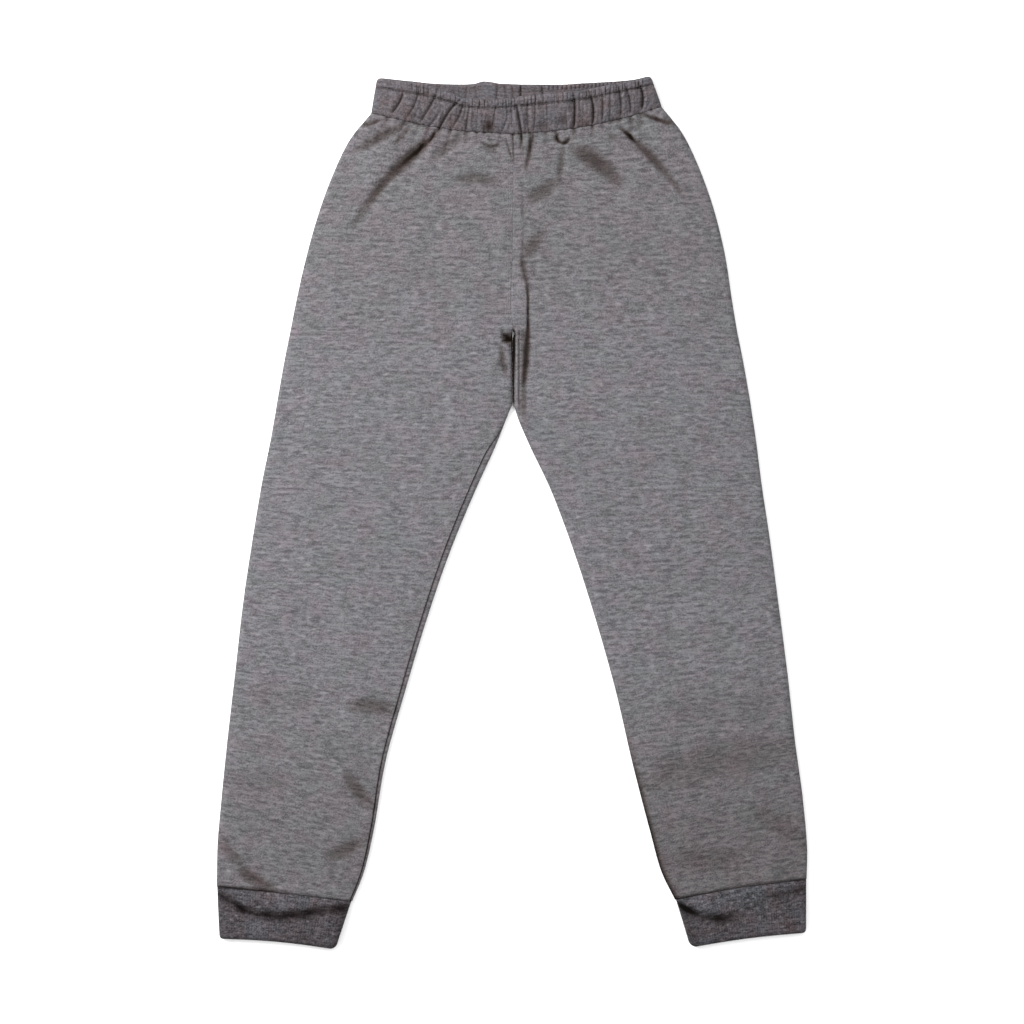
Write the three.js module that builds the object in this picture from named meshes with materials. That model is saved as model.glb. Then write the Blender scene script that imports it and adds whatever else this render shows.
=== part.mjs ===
// Jogger sweatpants for a child, lying flat on a table with the front up.
// Millimetres: +Z is up, +Y points to the waist and +X to the wearer's left leg.
// The origin lies on the table, under the middle of the garment's outline.
// The garment has five pieces: two legs, the waistband and two cuffs.

import * as THREE from "three";

// Cloth
const FLEECE = 2.0; // wall of the brushed fleece in the legs
const RIB = 2.9; // wall of a cuff, rib knit folded double
const BAND = 3.0; // wall of the waistband, fleece round an elastic
const SEAM = 0.3; // space between two pieces where they are sewn

// Heights above the table
const EDGE_HEIGHT = 6.0; // top of the fleece where it turns at a side
const FULL_HEIGHT = 7.3; // top of the fleece in the middle of a leg
const LOWEST = 4.8; // floor of the deepest crease
const HIGHEST = 7.9; // top of the highest ridge
const RISE = 38; // width over which the fleece rises from its edge height

// Folded edges
const SIDE_TURN = 6; // how far in the fold at a side is rounded
const INSEAM_TURN = 7; // how far in the fold at an inseam is rounded
const SLIT = 0.05; // half the opening angle at the inseam, in radians

// Columns of the leg tables: the outer and inner edge, how far the row's middle
// bows towards the waist, and the number of steps to the next row
const OUTER_X = 0;
const OUTER_Y = 1;
const INNER_X = 2;
const INNER_Y = 3;
const BOW = 4;
const STEPS = 5;

const RIGHT_ROWS = [
  [-119.3, 338.7, 1.3, 320.4, -4.2, 3],
  [-137.7, 315.8, 1.3, 305.6, -2.5, 4],
  [-153.8, 281.8, 1.1, 277.5, -1.0, 4],
  [-165.8, 247.8, 0.8, 246.1, 0.0, 3],
  [-175.1, 213.8, 0.4, 212.1, 0.0, 3],
  [-182.8, 179.8, -0.8, 179.8, 0.0, 2],
  [-187.8, 154.3, 0.6, 156.0, 0.0, 3],
  [-192.9, 128.8, 0.6, 124.5, 0.0, 3],
  [-198.9, 94.8, 0.5, 92.2, 0.0, 3],
  [-204.8, 60.8, -13.6, 56.5, 0.0, 2],
  [-211.7, 26.8, -30.6, 19.1, 0.0, 2],
  [-220.2, -24.2, -52.7, -34.4, 0.0, 2],
  [-227.8, -75.2, -71.4, -88.8, 0.0, 2],
  [-234.6, -134.7, -90.1, -150.9, 0.0, 2],
  [-241.4, -194.2, -107.7, -214.6, 0.0, 2],
  [-246.5, -245.2, -116.9, -269.0, 0.0, 2],
  [-249.9, -287.7, -125.0, -303.9, 0.3, 2],
  [-250.3, -317.1, -135.2, -329.8, 0.8, 0],
];

const LEFT_ROWS = [
  [127.5, 343.8, 1.3, 320.4, -5.0, 3],
  [145.3, 320.9, 1.3, 305.6, -3.0, 4],
  [163.2, 281.8, 1.1, 277.5, -1.0, 4],
  [174.2, 247.8, 0.8, 246.1, 0.0, 3],
  [181.9, 213.8, 0.4, 212.1, 0.0, 3],
  [187.0, 179.8, -0.8, 179.8, 0.0, 2],
  [191.2, 154.3, 0.6, 156.0, 0.0, 3],
  [196.3, 128.8, 0.8, 124.5, 0.0, 3],
  [202.3, 94.8, 1.1, 92.2, 0.0, 3],
  [207.4, 60.8, 15.3, 56.5, 0.0, 2],
  [211.7, 26.8, 33.1, 19.1, 0.0, 2],
  [219.3, -24.2, 53.1, -34.4, 0.0, 2],
  [226.1, -75.2, 70.5, -88.8, 0.0, 2],
  [233.8, -134.7, 88.0, -150.9, 0.0, 2],
  [240.5, -194.2, 102.8, -214.6, 0.0, 2],
  [247.3, -245.2, 116.9, -269.0, 0.4, 2],
  [250.8, -287.7, 126.6, -303.9, 1.4, 2],
  [250.3, -310.7, 138.5, -328.5, 2.2, 0],
];

// The two legs part at this row, where the inseams start
const CROTCH_ROW = 6;
const CLOSING = 1 / 3; // part of a row in which a leg's edges come together
const BACK_RISE = 15; // how much higher the back's waist seam lies at the centre
const RISE_ROWS = 3; // rows over which that extra height fades out

// Columns across a leg's section
const FRONT_COLUMNS = 17;
const BACK_COLUMNS = 3;
const SIDE_COLUMNS = 4;

// The slit of an inseam: its angle on the rounded inner fold, where a quarter turn
// is the top, and the columns that lie on the fold on either side of it
const INSEAMS = {
  right: { angle: 1.35, front: 1, back: 5 },
  left: { angle: -1.1, front: 5, back: 1 },
};

// Creases and ridges of the front: start, middle and end of each (x, y), the
// width of its flank and its height, which is below zero in a crease
const FOLDS = [
  [-62.9, 321.7, -102.8, 286.0, -135.2, 235.9, 6.5, -2.9],
  [-50.0, 308.0, -88.0, 272.0, -120.0, 226.0, 9.0, 0.7],
  [-96.9, 329.4, -118.1, 320.9, -133.4, 309.0, 7.0, -1.7],
  [94.3, 325.1, 122.4, 298.8, 152.2, 262.2, 5.5, -2.3],
  [109.6, 337.9, 126.6, 332.8, 143.7, 329.4, 5.0, -1.6],
  [44.2, 315.8, 68.8, 303.0, 91.0, 285.2, 11.0, -1.8],
  [43.4, 317.5, 40.8, 286.0, 14.4, 262.2, 7.0, -1.4],
  [17.0, 320.9, 15.3, 307.3, 12.8, 290.3, 6.0, -0.9],
  [-25.5, 317.5, -17.8, 308.1, -9.3, 314.9, 6.0, -0.9],
  [9.3, 235.0, 11.0, 212.1, 14.4, 188.3, 5.0, -0.7],
  [14.4, 188.3, 15.3, 150.0, 12.0, 104.0, 5.0, -1.0],
  [-6.8, 149.2, -3.4, 144.9, -0.8, 139.8, 7.0, -2.0],
  [-7.6, 135.6, -6.4, 118.6, -4.0, 101.6, 5.0, -0.9],
  [-47.6, 281.8, -26.3, 284.3, -11.9, 279.2, 10.0, -0.7],
  [-60.4, 252.0, -66.3, 235.0, -70.5, 222.3, 9.0, -0.6],
  [-28.1, 161.1, -17.8, 173.0, -6.8, 185.7, 9.0, -0.7],
  [-141.9, -169.6, -121.5, -167.0, -102.8, -173.8, 10.0, -1.0],
  [-149.6, -224.8, -128.3, -235.9, -116.0, -241.8, 10.0, -1.1],
  [-240.5, -283.5, -227.8, -303.0, -208.2, -316.6, 8.0, -1.2],
  [-160.7, -296.2, -145.3, -289.4, -130.0, -281.0, 9.0, -1.0],
  [204.8, -253.7, 228.7, -263.9, 249.0, -281.8, 9.0, -1.1],
  [118.1, -226.5, 177.7, -215.5, 242.2, -198.5, 20.0, -0.8],
];
const FOLD_SAMPLES = 16; // points at which a fold's path is measured

// Waistband: its corners, and the upper edges of its front and of its back
const BAND_FOOT = [-119.3, 127.5];
const BAND_TOP = [-114.8, 119.0];
const BAND_EDGES = [
  [-113.1, 367.6, 369.2],
  [-85.0, 364.6, 366.2],
  [-62.9, 360.3, 364.1],
  [-50.2, 355.7, 363.6],
  [-41.7, 351.5, 363.8],
  [-32.3, 350.4, 365.3],
  [-17.9, 349.8, 365.1],
  [11.1, 353.5, 363.5],
  [40.8, 356.0, 363.4],
  [60.4, 358.3, 364.6],
  [89.3, 363.8, 366.1],
  [103.7, 366.2, 367.6],
  [117.0, 369.0, 370.8],
];
const EDGE_X = 0;
const FRONT_EDGE = 1;
const BACK_EDGE = 2;

// Gathers of the waistband's front: x at the upper edge, x at the seam, depth
const GATHERS = [
  [-93.5, -103.7, 0.9],
  [-80.8, -91.0, 0.6],
  [-65.5, -74.8, 0.8],
  [-57.8, -68.0, 0.5],
  [-47.6, -60.4, 1.0],
  [-40.8, -51.0, 0.7],
  [-34.0, -39.1, 0.6],
  [-26.3, -27.2, 0.5],
  [-20.4, -21.2, 0.4],
  [-13.6, -15.3, 0.6],
  [-4.2, -7.6, 0.6],
  [5.1, 2.6, 0.9],
  [13.2, 12.3, 0.6],
  [20.4, 20.4, 0.5],
  [29.8, 29.8, 0.5],
  [37.4, 35.7, 0.4],
  [45.0, 43.4, 0.4],
  [52.7, 52.7, 1.0],
  [60.4, 60.4, 0.4],
  [68.8, 68.8, 0.9],
  [76.5, 76.5, 0.6],
  [83.3, 84.5, 0.5],
  [91.4, 93.5, 0.8],
  [98.6, 101.5, 0.8],
  [108.8, 112.3, 0.9],
];
const GATHER_COLUMNS = 3; // columns from one gather to the next
const END_COLUMNS = 2; // columns from a corner to its nearest gather
const BACK_WAVES = 16; // gathers that show inside the back of the waistband
const BACK_WAVE_COLUMNS = 3;
const BAND_TURN = 6; // how far in the folds at the waistband's sides are rounded
const BAND_HEIGHT = 8.3; // top of the gathers of the waistband's front
const GATHER_DEPTH = 2.3; // depth of a gather with depth 1
const BAND_INSIDE = 4.0; // plain inside of the waistband's front
const BACK_WAVE = 0.25; // half the height of the back's gathers

// The waistband from its seam to its upper edge: the part of its height, how far
// the outer side lies under the full height, how much of the gathers shows, and how
// far the other sides are drawn together
const BAND_PROFILE = [
  [0.0, 1.2, 0.7, 0.0],
  [0.12, 0.5, 1.0, 0.0],
  [0.42, 0.0, 1.0, 0.0],
  [0.66, 0.5, 0.8, 0.0],
  [0.75, 1.5, 0.35, 0.0],
  [0.87, 0.7, 0.45, 0.0],
  [0.96, 1.5, 0.3, 0.3],
  [1.0, 2.6, 0.1, 0.8],
];
const BACK_WAVES_FROM = 0.5; // part of the height above which the back's waves show

// Cuffs: how far in from the hem's outer and inner end each cuff starts, the outer
// and inner end of its lower edge (x, y) and how far that edge bows up
const CUFFS = {
  right: { inset: [1.0, 1.8], outer: [-247.3, -361.2], inner: [-147.6, -370.6], bow: 1.0 },
  left: { inset: [0.7, 4.2], outer: [249.5, -355.9], inner: [151.0, -369.0], bow: 0.6 },
};
const CUFF_FRONT_COLUMNS = 14;
const CUFF_BACK_COLUMNS = 4;
const CUFF_TURN = 6;
const CUFF_HEIGHT = 7.5;
const CUFF_INSIDE = 4.0; // plain inside of a cuff's front

// A cuff from its seam to its lower edge: the part of its length, how far its outer
// side lies under the full height, how far the other sides are drawn together, and
// how much narrower it is at each end
const CUFF_PROFILE = [
  [0.0, 1.3, 0.0, 0.0],
  [0.1, 0.6, 0.0, 0.0],
  [0.28, 1.5, 0.0, 0.0],
  [0.5, 0.2, 0.0, 0.0],
  [0.75, 0.0, 0.0, 0.0],
  [0.93, 0.7, 0.2, 1.0],
  [1.0, 2.4, 0.7, 3.2],
];

const MARL = { color: 0x828285, roughness: 0.95, metalness: 0 };
const DARK_RIB = { color: 0x4c484c, roughness: 0.95, metalness: 0 };

const mix = (a, b, part) => a + (b - a) * part;
const clamp = (value, low, high) => Math.min(high, Math.max(low, value));
const smooth = (value) => clamp(value, 0, 1) ** 2 * (3 - 2 * clamp(value, 0, 1));

// One column of a table at a place between its rows, without overshoot.
function between(rows, column, place) {
  const last = rows.length - 1;
  const index = Math.min(Math.floor(place), last - 1);
  const step = (i) => rows[i + 1][column] - rows[i][column];
  const slope = (i) => {
    if (i === 0) return step(0);
    if (i === last) return step(last - 1);
    const product = step(i - 1) * step(i);
    return product <= 0 ? 0 : (2 * product) / (step(i - 1) + step(i));
  };
  const t = place - index;
  const from = rows[index][column];
  const rise = step(index);
  const bend = slope(index) + slope(index + 1) - 2 * rise;
  return from + t * (slope(index) + t * (3 * rise - 2 * slope(index) - slope(index + 1) + t * bend));
}

// The place between a table's rows where its first column has a value.
function placeAt(rows, value) {
  let index = 0;
  while (index < rows.length - 2 && rows[index + 1][EDGE_X] < value) index += 1;
  const from = rows[index][EDGE_X];
  return clamp(index + (value - from) / (rows[index + 1][EDGE_X] - from), 0, rows.length - 1);
}

// How much one fold lifts the cloth at a point.
function foldLift([x0, y0, x1, y1, x2, y2, flank, height], x, y) {
  let nearest = Infinity;
  let along = 0;
  for (let i = 0; i <= FOLD_SAMPLES; i += 1) {
    const t = i / FOLD_SAMPLES;
    const px = mix(mix(x0, x1, t), mix(x1, x2, t), t);
    const py = mix(mix(y0, y1, t), mix(y1, y2, t), t);
    const distance = Math.hypot(x - px, y - py);
    if (distance < nearest) {
      nearest = distance;
      along = t;
    }
  }
  const taper = Math.sqrt(Math.sin(Math.PI * clamp(along, 0.04, 0.96)));
  return height * taper * Math.exp(-((nearest / flank) ** 2));
}

// Top of the fleece at a point that lies so far inside the nearest folded edge.
function fleeceTop(x, y, inside) {
  let height = mix(EDGE_HEIGHT, FULL_HEIGHT, smooth(inside / RISE));
  for (const fold of FOLDS) height += foldLift(fold, x, y);
  return clamp(height, LOWEST, HIGHEST);
}

// How far in from a rounded fold's edge a wall's side lies at an angle.
function sideReach(turn, wall, angle) {
  return turn - (turn - wall) * Math.cos(angle);
}

// A wall between two grids of points, outer and inner, as one closed surface. In a
// ring the last column joins the first, and otherwise both end columns are closed.
function wallGeometry(outer, inner, ring, turned) {
  const rows = outer.length;
  const columns = outer[0].length;
  const positions = [...outer.flat(), ...inner.flat()].flat();
  const out = (row, column) => row * columns + (column % columns);
  const into = (row, column) => rows * columns + out(row, column);
  const indices = [];
  const quad = (a, b, c, d) => {
    if (turned) indices.push(a, c, b, a, d, c);
    else indices.push(a, b, c, a, c, d);
  };
  const spans = ring ? columns : columns - 1;
  for (let column = 0; column < spans; column += 1) {
    const next = column + 1;
    for (let row = 0; row < rows - 1; row += 1) {
      quad(out(row, column), out(row + 1, column), out(row + 1, next), out(row, next));
      quad(into(row, next), into(row + 1, next), into(row + 1, column), into(row, column));
    }
    quad(out(0, next), into(0, next), into(0, column), out(0, column));
    quad(out(rows - 1, column), into(rows - 1, column), into(rows - 1, next), out(rows - 1, next));
  }
  if (!ring) {
    const end = columns - 1;
    for (let row = 0; row < rows - 1; row += 1) {
      quad(out(row, 0), into(row, 0), into(row + 1, 0), out(row + 1, 0));
      quad(out(row + 1, end), into(row + 1, end), into(row, end), out(row, end));
    }
  }
  const geometry = new THREE.BufferGeometry();
  geometry.setAttribute("position", new THREE.Float32BufferAttribute(positions, 3));
  geometry.setIndex(indices);
  geometry.computeVertexNormals();
  return geometry;
}

// Places between the rows of a leg table at which the leg has a section.
function stations(rows) {
  const places = [];
  rows.forEach((row, index) => {
    for (let step = 0; step < row[STEPS]; step += 1) places.push(index + step / row[STEPS]);
  });
  places.push(rows.length - 1);
  return places;
}

// The line across a leg at a place between its rows, seen from above. Its points are
// asked for by their distance from the outer edge.
function legLine(rows, place, side) {
  const [ox, oy, bow] = [OUTER_X, OUTER_Y, BOW].map((column) => between(rows, column, place));
  const ix = between(rows, INNER_X, place) + (side * SEAM) / 2;
  const iy = between(rows, INNER_Y, place);
  const width = Math.hypot(ix - ox, iy - oy);
  const lower = smooth(place / RISE_ROWS);
  const at = (distance, shift) => {
    const part = distance / width;
    return [mix(ox, ix, part), mix(oy, iy, part) + shift(part)];
  };
  return {
    width,
    front: (distance) => at(distance, (part) => bow * Math.sin(Math.PI * part)),
    back: (distance) => at(distance, (part) => {
      return mix(BACK_RISE * Math.sin((Math.PI / 2) * part), bow * Math.sin(Math.PI * part), lower);
    }),
  };
}

// One section of a leg: its outer and inner points, from the front edge of the
// cloth round the side to its back edge.
function legSection(rows, place, side, inseam) {
  const line = legLine(rows, place, side);
  const width = line.width;
  const closed = smooth((place - CROTCH_ROW) / CLOSING);
  const topAt = (distance) => {
    const fromInseam = mix(RISE, width - distance, closed);
    return fleeceTop(...line.front(distance), Math.min(distance, fromInseam));
  };
  const outer = [];
  const inner = [];
  const add = (from, distance, top, under) => {
    outer.push([...from(distance), top]);
    inner.push([...from(distance), under]);
  };
  // Near the centre seam the cloth lies flat, and below the crotch it is bent round
  // the inner fold, up to the inseam.
  const inseamHalf = topAt(width - INSEAM_TURN) / 2;
  const addInseam = (from, angle, part, flatTop, flatUnder) => {
    const flat = width - INSEAM_TURN * (1 - part);
    const point = (wall, flatZ) => {
      const bent = width - sideReach(INSEAM_TURN, wall, angle);
      const bentZ = inseamHalf + (inseamHalf - wall) * Math.sin(angle);
      return [...from(mix(flat, bent, closed)), mix(flatZ, bentZ, closed)];
    };
    outer.push(point(0, flatTop));
    inner.push(point(FLEECE, flatUnder));
  };

  for (let i = 0; i < inseam.front; i += 1) {
    const part = 1 - i / inseam.front;
    const top = topAt(width - INSEAM_TURN * (1 - part));
    addInseam(line.front, mix(Math.PI / 2, inseam.angle + SLIT, part), part, top, top - FLEECE);
  }
  for (let i = 0; i <= FRONT_COLUMNS; i += 1) {
    const distance = mix(width - INSEAM_TURN, SIDE_TURN, i / FRONT_COLUMNS);
    const top = topAt(distance);
    add(line.front, distance, top, top - FLEECE);
  }
  const sideHalf = topAt(SIDE_TURN) / 2;
  for (let i = 1; i < SIDE_COLUMNS; i += 1) {
    const angle = Math.PI * (0.5 - i / SIDE_COLUMNS);
    const point = (wall) => {
      const distance = sideReach(SIDE_TURN, wall, angle);
      const [x, frontY] = line.front(distance);
      const y = mix(line.back(distance)[1], frontY, (1 + Math.sin(angle)) / 2);
      return [x, y, sideHalf + (sideHalf - wall) * Math.sin(angle)];
    };
    outer.push(point(0));
    inner.push(point(FLEECE));
  }
  for (let i = 0; i <= BACK_COLUMNS; i += 1) {
    add(line.back, mix(SIDE_TURN, width - INSEAM_TURN, i / BACK_COLUMNS), 0, FLEECE);
  }
  for (let i = 1; i <= inseam.back; i += 1) {
    const part = i / inseam.back;
    addInseam(line.back, mix(-Math.PI / 2, inseam.angle - SLIT, part), part, 0, FLEECE);
  }
  return { outer, inner };
}

function legGeometry(rows, side, inseam) {
  const sections = stations(rows).map((place) => legSection(rows, place, side, inseam));
  const outer = sections.map((section) => section.outer);
  const inner = sections.map((section) => section.inner);
  return wallGeometry(outer, inner, false, side < 0);
}

// The waist seam of the legs at an x, moved up by the space at a seam.
function waistSeam(x, face) {
  const side = x < RIGHT_ROWS[0][INNER_X] ? -1 : 1;
  const rows = side < 0 ? RIGHT_ROWS : LEFT_ROWS;
  const line = legLine(rows, 0, side);
  const part = clamp((x - rows[0][OUTER_X]) / (rows[0][INNER_X] - rows[0][OUTER_X]), 0, 1);
  return line[face](part * line.width)[1] + SEAM;
}

// Columns of the waistband's front from left to right: x at the upper edge, x at the
// seam, and the depth there, which is 0 on the crest between two gathers.
function bandFrontColumns() {
  const columns = [];
  const addSpan = (from, to, count) => {
    for (let i = 0; i < count; i += 1) {
      const part = i / count;
      const crest = (1 + Math.cos(2 * Math.PI * part)) / 2;
      const depth = mix(from[2], to[2], part) * crest;
      columns.push([mix(from[0], to[0], part), mix(from[1], to[1], part), depth]);
    }
  };
  const start = [BAND_TOP[0] + BAND_TURN, BAND_FOOT[0] + BAND_TURN, 0];
  const end = [BAND_TOP[1] - BAND_TURN, BAND_FOOT[1] - BAND_TURN, 0];
  addSpan(start, GATHERS[0], END_COLUMNS);
  for (let i = 0; i < GATHERS.length - 1; i += 1) addSpan(GATHERS[i], GATHERS[i + 1], GATHER_COLUMNS);
  columns.push(GATHERS[GATHERS.length - 1]);
  columns.push(end);
  return columns;
}

// Columns on a rounded side fold, without its two ends: the angle from the table
// upwards, a quarter turn on top, and the x of the fold's edge at the seam and on top.
function sideColumns(corner, sign) {
  const columns = [];
  for (let i = 1; i < SIDE_COLUMNS; i += 1) {
    const angle = sign * Math.PI * (0.5 - i / SIDE_COLUMNS);
    columns.push({ topX: BAND_TOP[corner], footX: BAND_FOOT[corner], angle, sign, depth: 0, wave: 0 });
  }
  return columns;
}

// Columns of the waistband's back from right to left, with the height of its waves.
function bandBackColumns() {
  const columns = [];
  const count = BACK_WAVES * BACK_WAVE_COLUMNS;
  for (let i = 0; i <= count; i += 1) {
    const topX = mix(BAND_TOP[1] - BAND_TURN, BAND_TOP[0] + BAND_TURN, i / count);
    const footX = mix(BAND_FOOT[1] - BAND_TURN, BAND_FOOT[0] + BAND_TURN, i / count);
    const wave = BACK_WAVE * Math.cos((2 * Math.PI * i) / BACK_WAVE_COLUMNS);
    columns.push({ topX, footX, angle: -Math.PI / 2, sign: 0, depth: 0, wave });
  }
  return columns;
}

// A point of the waistband, at a part of its height and at a depth in its wall. On a
// side the seam and the upper edge lead from the front's lines to the back's.
function bandPoint(column, part, wall, z) {
  const onFront = (1 + Math.sin(column.angle)) / 2;
  const inwards = column.sign * sideReach(BAND_TURN, wall, column.angle);
  const footX = column.footX - inwards;
  const topX = column.topX - inwards;
  const edge = (face) => between(BAND_EDGES, face, placeAt(BAND_EDGES, topX));
  const foot = mix(waistSeam(footX, "back"), waistSeam(footX, "front"), onFront);
  const top = mix(edge(BACK_EDGE), edge(FRONT_EDGE), onFront);
  return [mix(footX, topX, part), mix(foot, top, part), z];
}

// The waistband is a flattened ring with rounded folds at its sides. The gathers are
// raised on the outside of its front, over a plain inside.
function waistbandGeometry() {
  const front = bandFrontColumns().map(([topX, footX, depth]) => {
    return { topX, footX, angle: Math.PI / 2, sign: 0, depth, wave: 0 };
  });
  const columns = [...front, ...sideColumns(1, 1), ...bandBackColumns(), ...sideColumns(0, -1)];
  const outer = [];
  const inner = [];
  for (const [part, drop, show, roll] of BAND_PROFILE) {
    const outerRow = [];
    const innerRow = [];
    for (const column of columns) {
      const onFront = (1 + Math.sin(column.angle)) / 2;
      const wave = part > BACK_WAVES_FROM ? column.wave : 0;
      const over = mix(roll, BAND_HEIGHT - drop, onFront) - GATHER_DEPTH * column.depth * show;
      const under = mix(BAND - roll + wave, BAND_INSIDE + roll / 2, onFront);
      outerRow.push(bandPoint(column, part, 0, over));
      innerRow.push(bandPoint(column, part, BAND, under));
    }
    outer.push(outerRow);
    inner.push(innerRow);
  }
  return wallGeometry(outer, inner, true, true);
}

// A cuff is a flattened tube with a rounded fold at each side and at its lower edge.
// Its seam follows the hem of the leg.
function cuffGeometry(cuff, rows, side) {
  const hem = legLine(rows, rows.length - 1, side);
  const width = hem.width - cuff.inset[0] - cuff.inset[1];
  const outer = [];
  const inner = [];
  for (const [part, drop, roll, narrower] of CUFF_PROFILE) {
    const outerRow = [];
    const innerRow = [];
    const add = (distanceOf, angle) => {
      const onFront = (1 + Math.sin(angle)) / 2;
      const point = (wall, z) => {
        const across = mix(narrower, width - narrower, distanceOf(wall) / width) / width;
        const seam = hem.front(cuff.inset[0] + across * width);
        const footX = mix(cuff.outer[0], cuff.inner[0], across);
        const footY = mix(cuff.outer[1], cuff.inner[1], across) + cuff.bow * Math.sin(Math.PI * across);
        return [mix(seam[0], footX, part), mix(seam[1] - SEAM, footY, part), z];
      };
      outerRow.push(point(0, mix(roll, CUFF_HEIGHT - drop, onFront)));
      innerRow.push(point(RIB, mix(RIB - roll, CUFF_INSIDE + roll, onFront)));
    };
    for (let i = 0; i <= CUFF_FRONT_COLUMNS; i += 1) {
      add(() => mix(width - CUFF_TURN, CUFF_TURN, i / CUFF_FRONT_COLUMNS), Math.PI / 2);
    }
    for (let i = 1; i < SIDE_COLUMNS; i += 1) {
      const angle = Math.PI * (0.5 - i / SIDE_COLUMNS);
      add((wall) => sideReach(CUFF_TURN, wall, angle), angle);
    }
    for (let i = 0; i <= CUFF_BACK_COLUMNS; i += 1) {
      add(() => mix(CUFF_TURN, width - CUFF_TURN, i / CUFF_BACK_COLUMNS), -Math.PI / 2);
    }
    for (let i = 1; i < SIDE_COLUMNS; i += 1) {
      const angle = Math.PI * (i / SIDE_COLUMNS - 0.5);
      add((wall) => width - sideReach(CUFF_TURN, wall, angle), angle);
    }
    outer.push(outerRow);
    inner.push(innerRow);
  }
  return wallGeometry(outer, inner, true, side < 0);
}

function piece(name, geometry, look) {
  const mesh = new THREE.Mesh(geometry, new THREE.MeshStandardMaterial(look));
  mesh.name = name;
  return mesh;
}

function sweatpants() {
  const group = new THREE.Group();
  group.add(piece("leg_right", legGeometry(RIGHT_ROWS, -1, INSEAMS.right), MARL));
  group.add(piece("leg_left", legGeometry(LEFT_ROWS, 1, INSEAMS.left), MARL));
  group.add(piece("waistband", waistbandGeometry(), MARL));
  group.add(piece("cuff_right", cuffGeometry(CUFFS.right, RIGHT_ROWS, -1), DARK_RIB));
  group.add(piece("cuff_left", cuffGeometry(CUFFS.left, LEFT_ROWS, 1), DARK_RIB));
  const box = new THREE.Box3().setFromObject(group);
  const middle = box.getCenter(new THREE.Vector3());
  group.position.set(-middle.x, -middle.y, -box.min.z);
  return group;
}

export default sweatpants();
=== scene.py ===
"""Jogger sweatpants of grey marled fleece, laid flat with the front up.

Sizes are in millimetres on the table: x to the wearer's left leg, y to the waist and z
up. They become metres where a mesh is made. Each piece of cloth is a wall between an
outer and an inner grid of points, so it is closed and has its real thickness.
"""

import logging
import math
from dataclasses import dataclass, field
from enum import Enum

import bpy
import numpy as np
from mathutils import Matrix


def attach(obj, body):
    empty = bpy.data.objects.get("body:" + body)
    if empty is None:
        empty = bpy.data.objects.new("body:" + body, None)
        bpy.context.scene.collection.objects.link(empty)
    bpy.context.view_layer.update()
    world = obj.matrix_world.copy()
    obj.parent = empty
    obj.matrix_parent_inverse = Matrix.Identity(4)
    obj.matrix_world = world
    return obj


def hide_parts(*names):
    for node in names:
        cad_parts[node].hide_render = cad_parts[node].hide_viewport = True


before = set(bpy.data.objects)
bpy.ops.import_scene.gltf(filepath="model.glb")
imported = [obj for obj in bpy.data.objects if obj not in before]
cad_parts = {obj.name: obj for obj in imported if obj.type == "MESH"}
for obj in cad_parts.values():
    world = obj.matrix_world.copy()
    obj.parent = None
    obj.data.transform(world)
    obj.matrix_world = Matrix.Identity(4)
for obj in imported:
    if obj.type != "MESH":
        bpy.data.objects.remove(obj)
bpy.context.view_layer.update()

LOG = logging.getLogger("sweatpants")
MM = 0.001
Socket = bpy.types.NodeSocket

# The middle of the outline, which lies over the frame's origin.
OUTLINE_MIDDLE = (0.25, 0.41)

# Cloth, as in the solids.
FLEECE = 2.0
RIB = 2.9
BAND = 3.0
SEAM = 0.15
LEG_GAP = 0.1

# Folded edges: how far in from the edge the cloth is rounded.
SIDE_TURN = 6.0
INSEAM_TURN = 7.0
BAND_TURN = 6.0
CUFF_TURN = 6.0

# Heights of the front's cloth above the table.
EDGE_HEIGHT = 6.6
FULL_HEIGHT = 8.2
LOWEST = 4.5
RISE = 38.0

# A distance that stands for a seam too far away to matter.
FAR = 99.0


class Side(Enum):
    """The wearer's right and left, with the sign of x."""

    RIGHT = -1
    LEFT = 1


class Face(Enum):
    """The layer of a flat tube that is seen from above, and the one on the table."""

    FRONT = "front"
    BACK = "back"


@dataclass(frozen=True)
class Waves:
    """Seeded waves that add up to a soft unevenness."""

    seed: int
    longest: float
    shortest: float


# How many waves are added up each time.
WAVE_COUNT = 18

# Unevenness of the legs: the large swells, the small ones, the hem, the cloth just under
# the waist, the crisp edge at the centre and the rim of the hollow.
SWELLS = Waves(seed=3, longest=80.0, shortest=26.0)
FLUTTER = Waves(seed=5, longest=16.0, shortest=7.0)
HEM_WAVES = Waves(seed=23, longest=30.0, shortest=5.0)
UNDER_WAIST = Waves(seed=19, longest=9.0, shortest=3.5)
CENTRE_EDGE = Waves(seed=61, longest=30.0, shortest=8.0)
HOLLOW_RIM = Waves(seed=71, longest=9.0, shortest=4.0)

# Unevenness of the waistband: the pull of the waist seam, the front's folds from wide to
# fine and its painted shading, the header's ticks, the stitched line and the back's inside.
WAIST_PULL = Waves(seed=43, longest=9.0, shortest=3.0)
BAND_FOLDS = Waves(seed=31, longest=15.0, shortest=5.5)
BAND_FINE = Waves(seed=33, longest=7.0, shortest=2.6)
BAND_SHADING = Waves(seed=35, longest=22.0, shortest=9.0)
HEADER_TICKS = Waves(seed=41, longest=26.0, shortest=7.0)
STITCHED_LINE = Waves(seed=47, longest=18.0, shortest=3.0)
BACK_FOLDS = Waves(seed=53, longest=14.0, shortest=4.0)

# Unevenness of the cuffs: how deep the trough is, and the cloth of each cuff.
TROUGH_WAVES = Waves(seed=15, longest=34.0, shortest=9.0)
CUFF_WAVES = {
    Side.RIGHT: Waves(seed=11, longest=34.0, shortest=11.0),
    Side.LEFT: Waves(seed=12, longest=34.0, shortest=11.0),
}


# Columns of the leg tables: the outer edge, the inner edge, and how far the row's
# middle bows towards the waist.
OUTER_X, OUTER_Y, INNER_X, INNER_Y, BOW = range(5)

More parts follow.
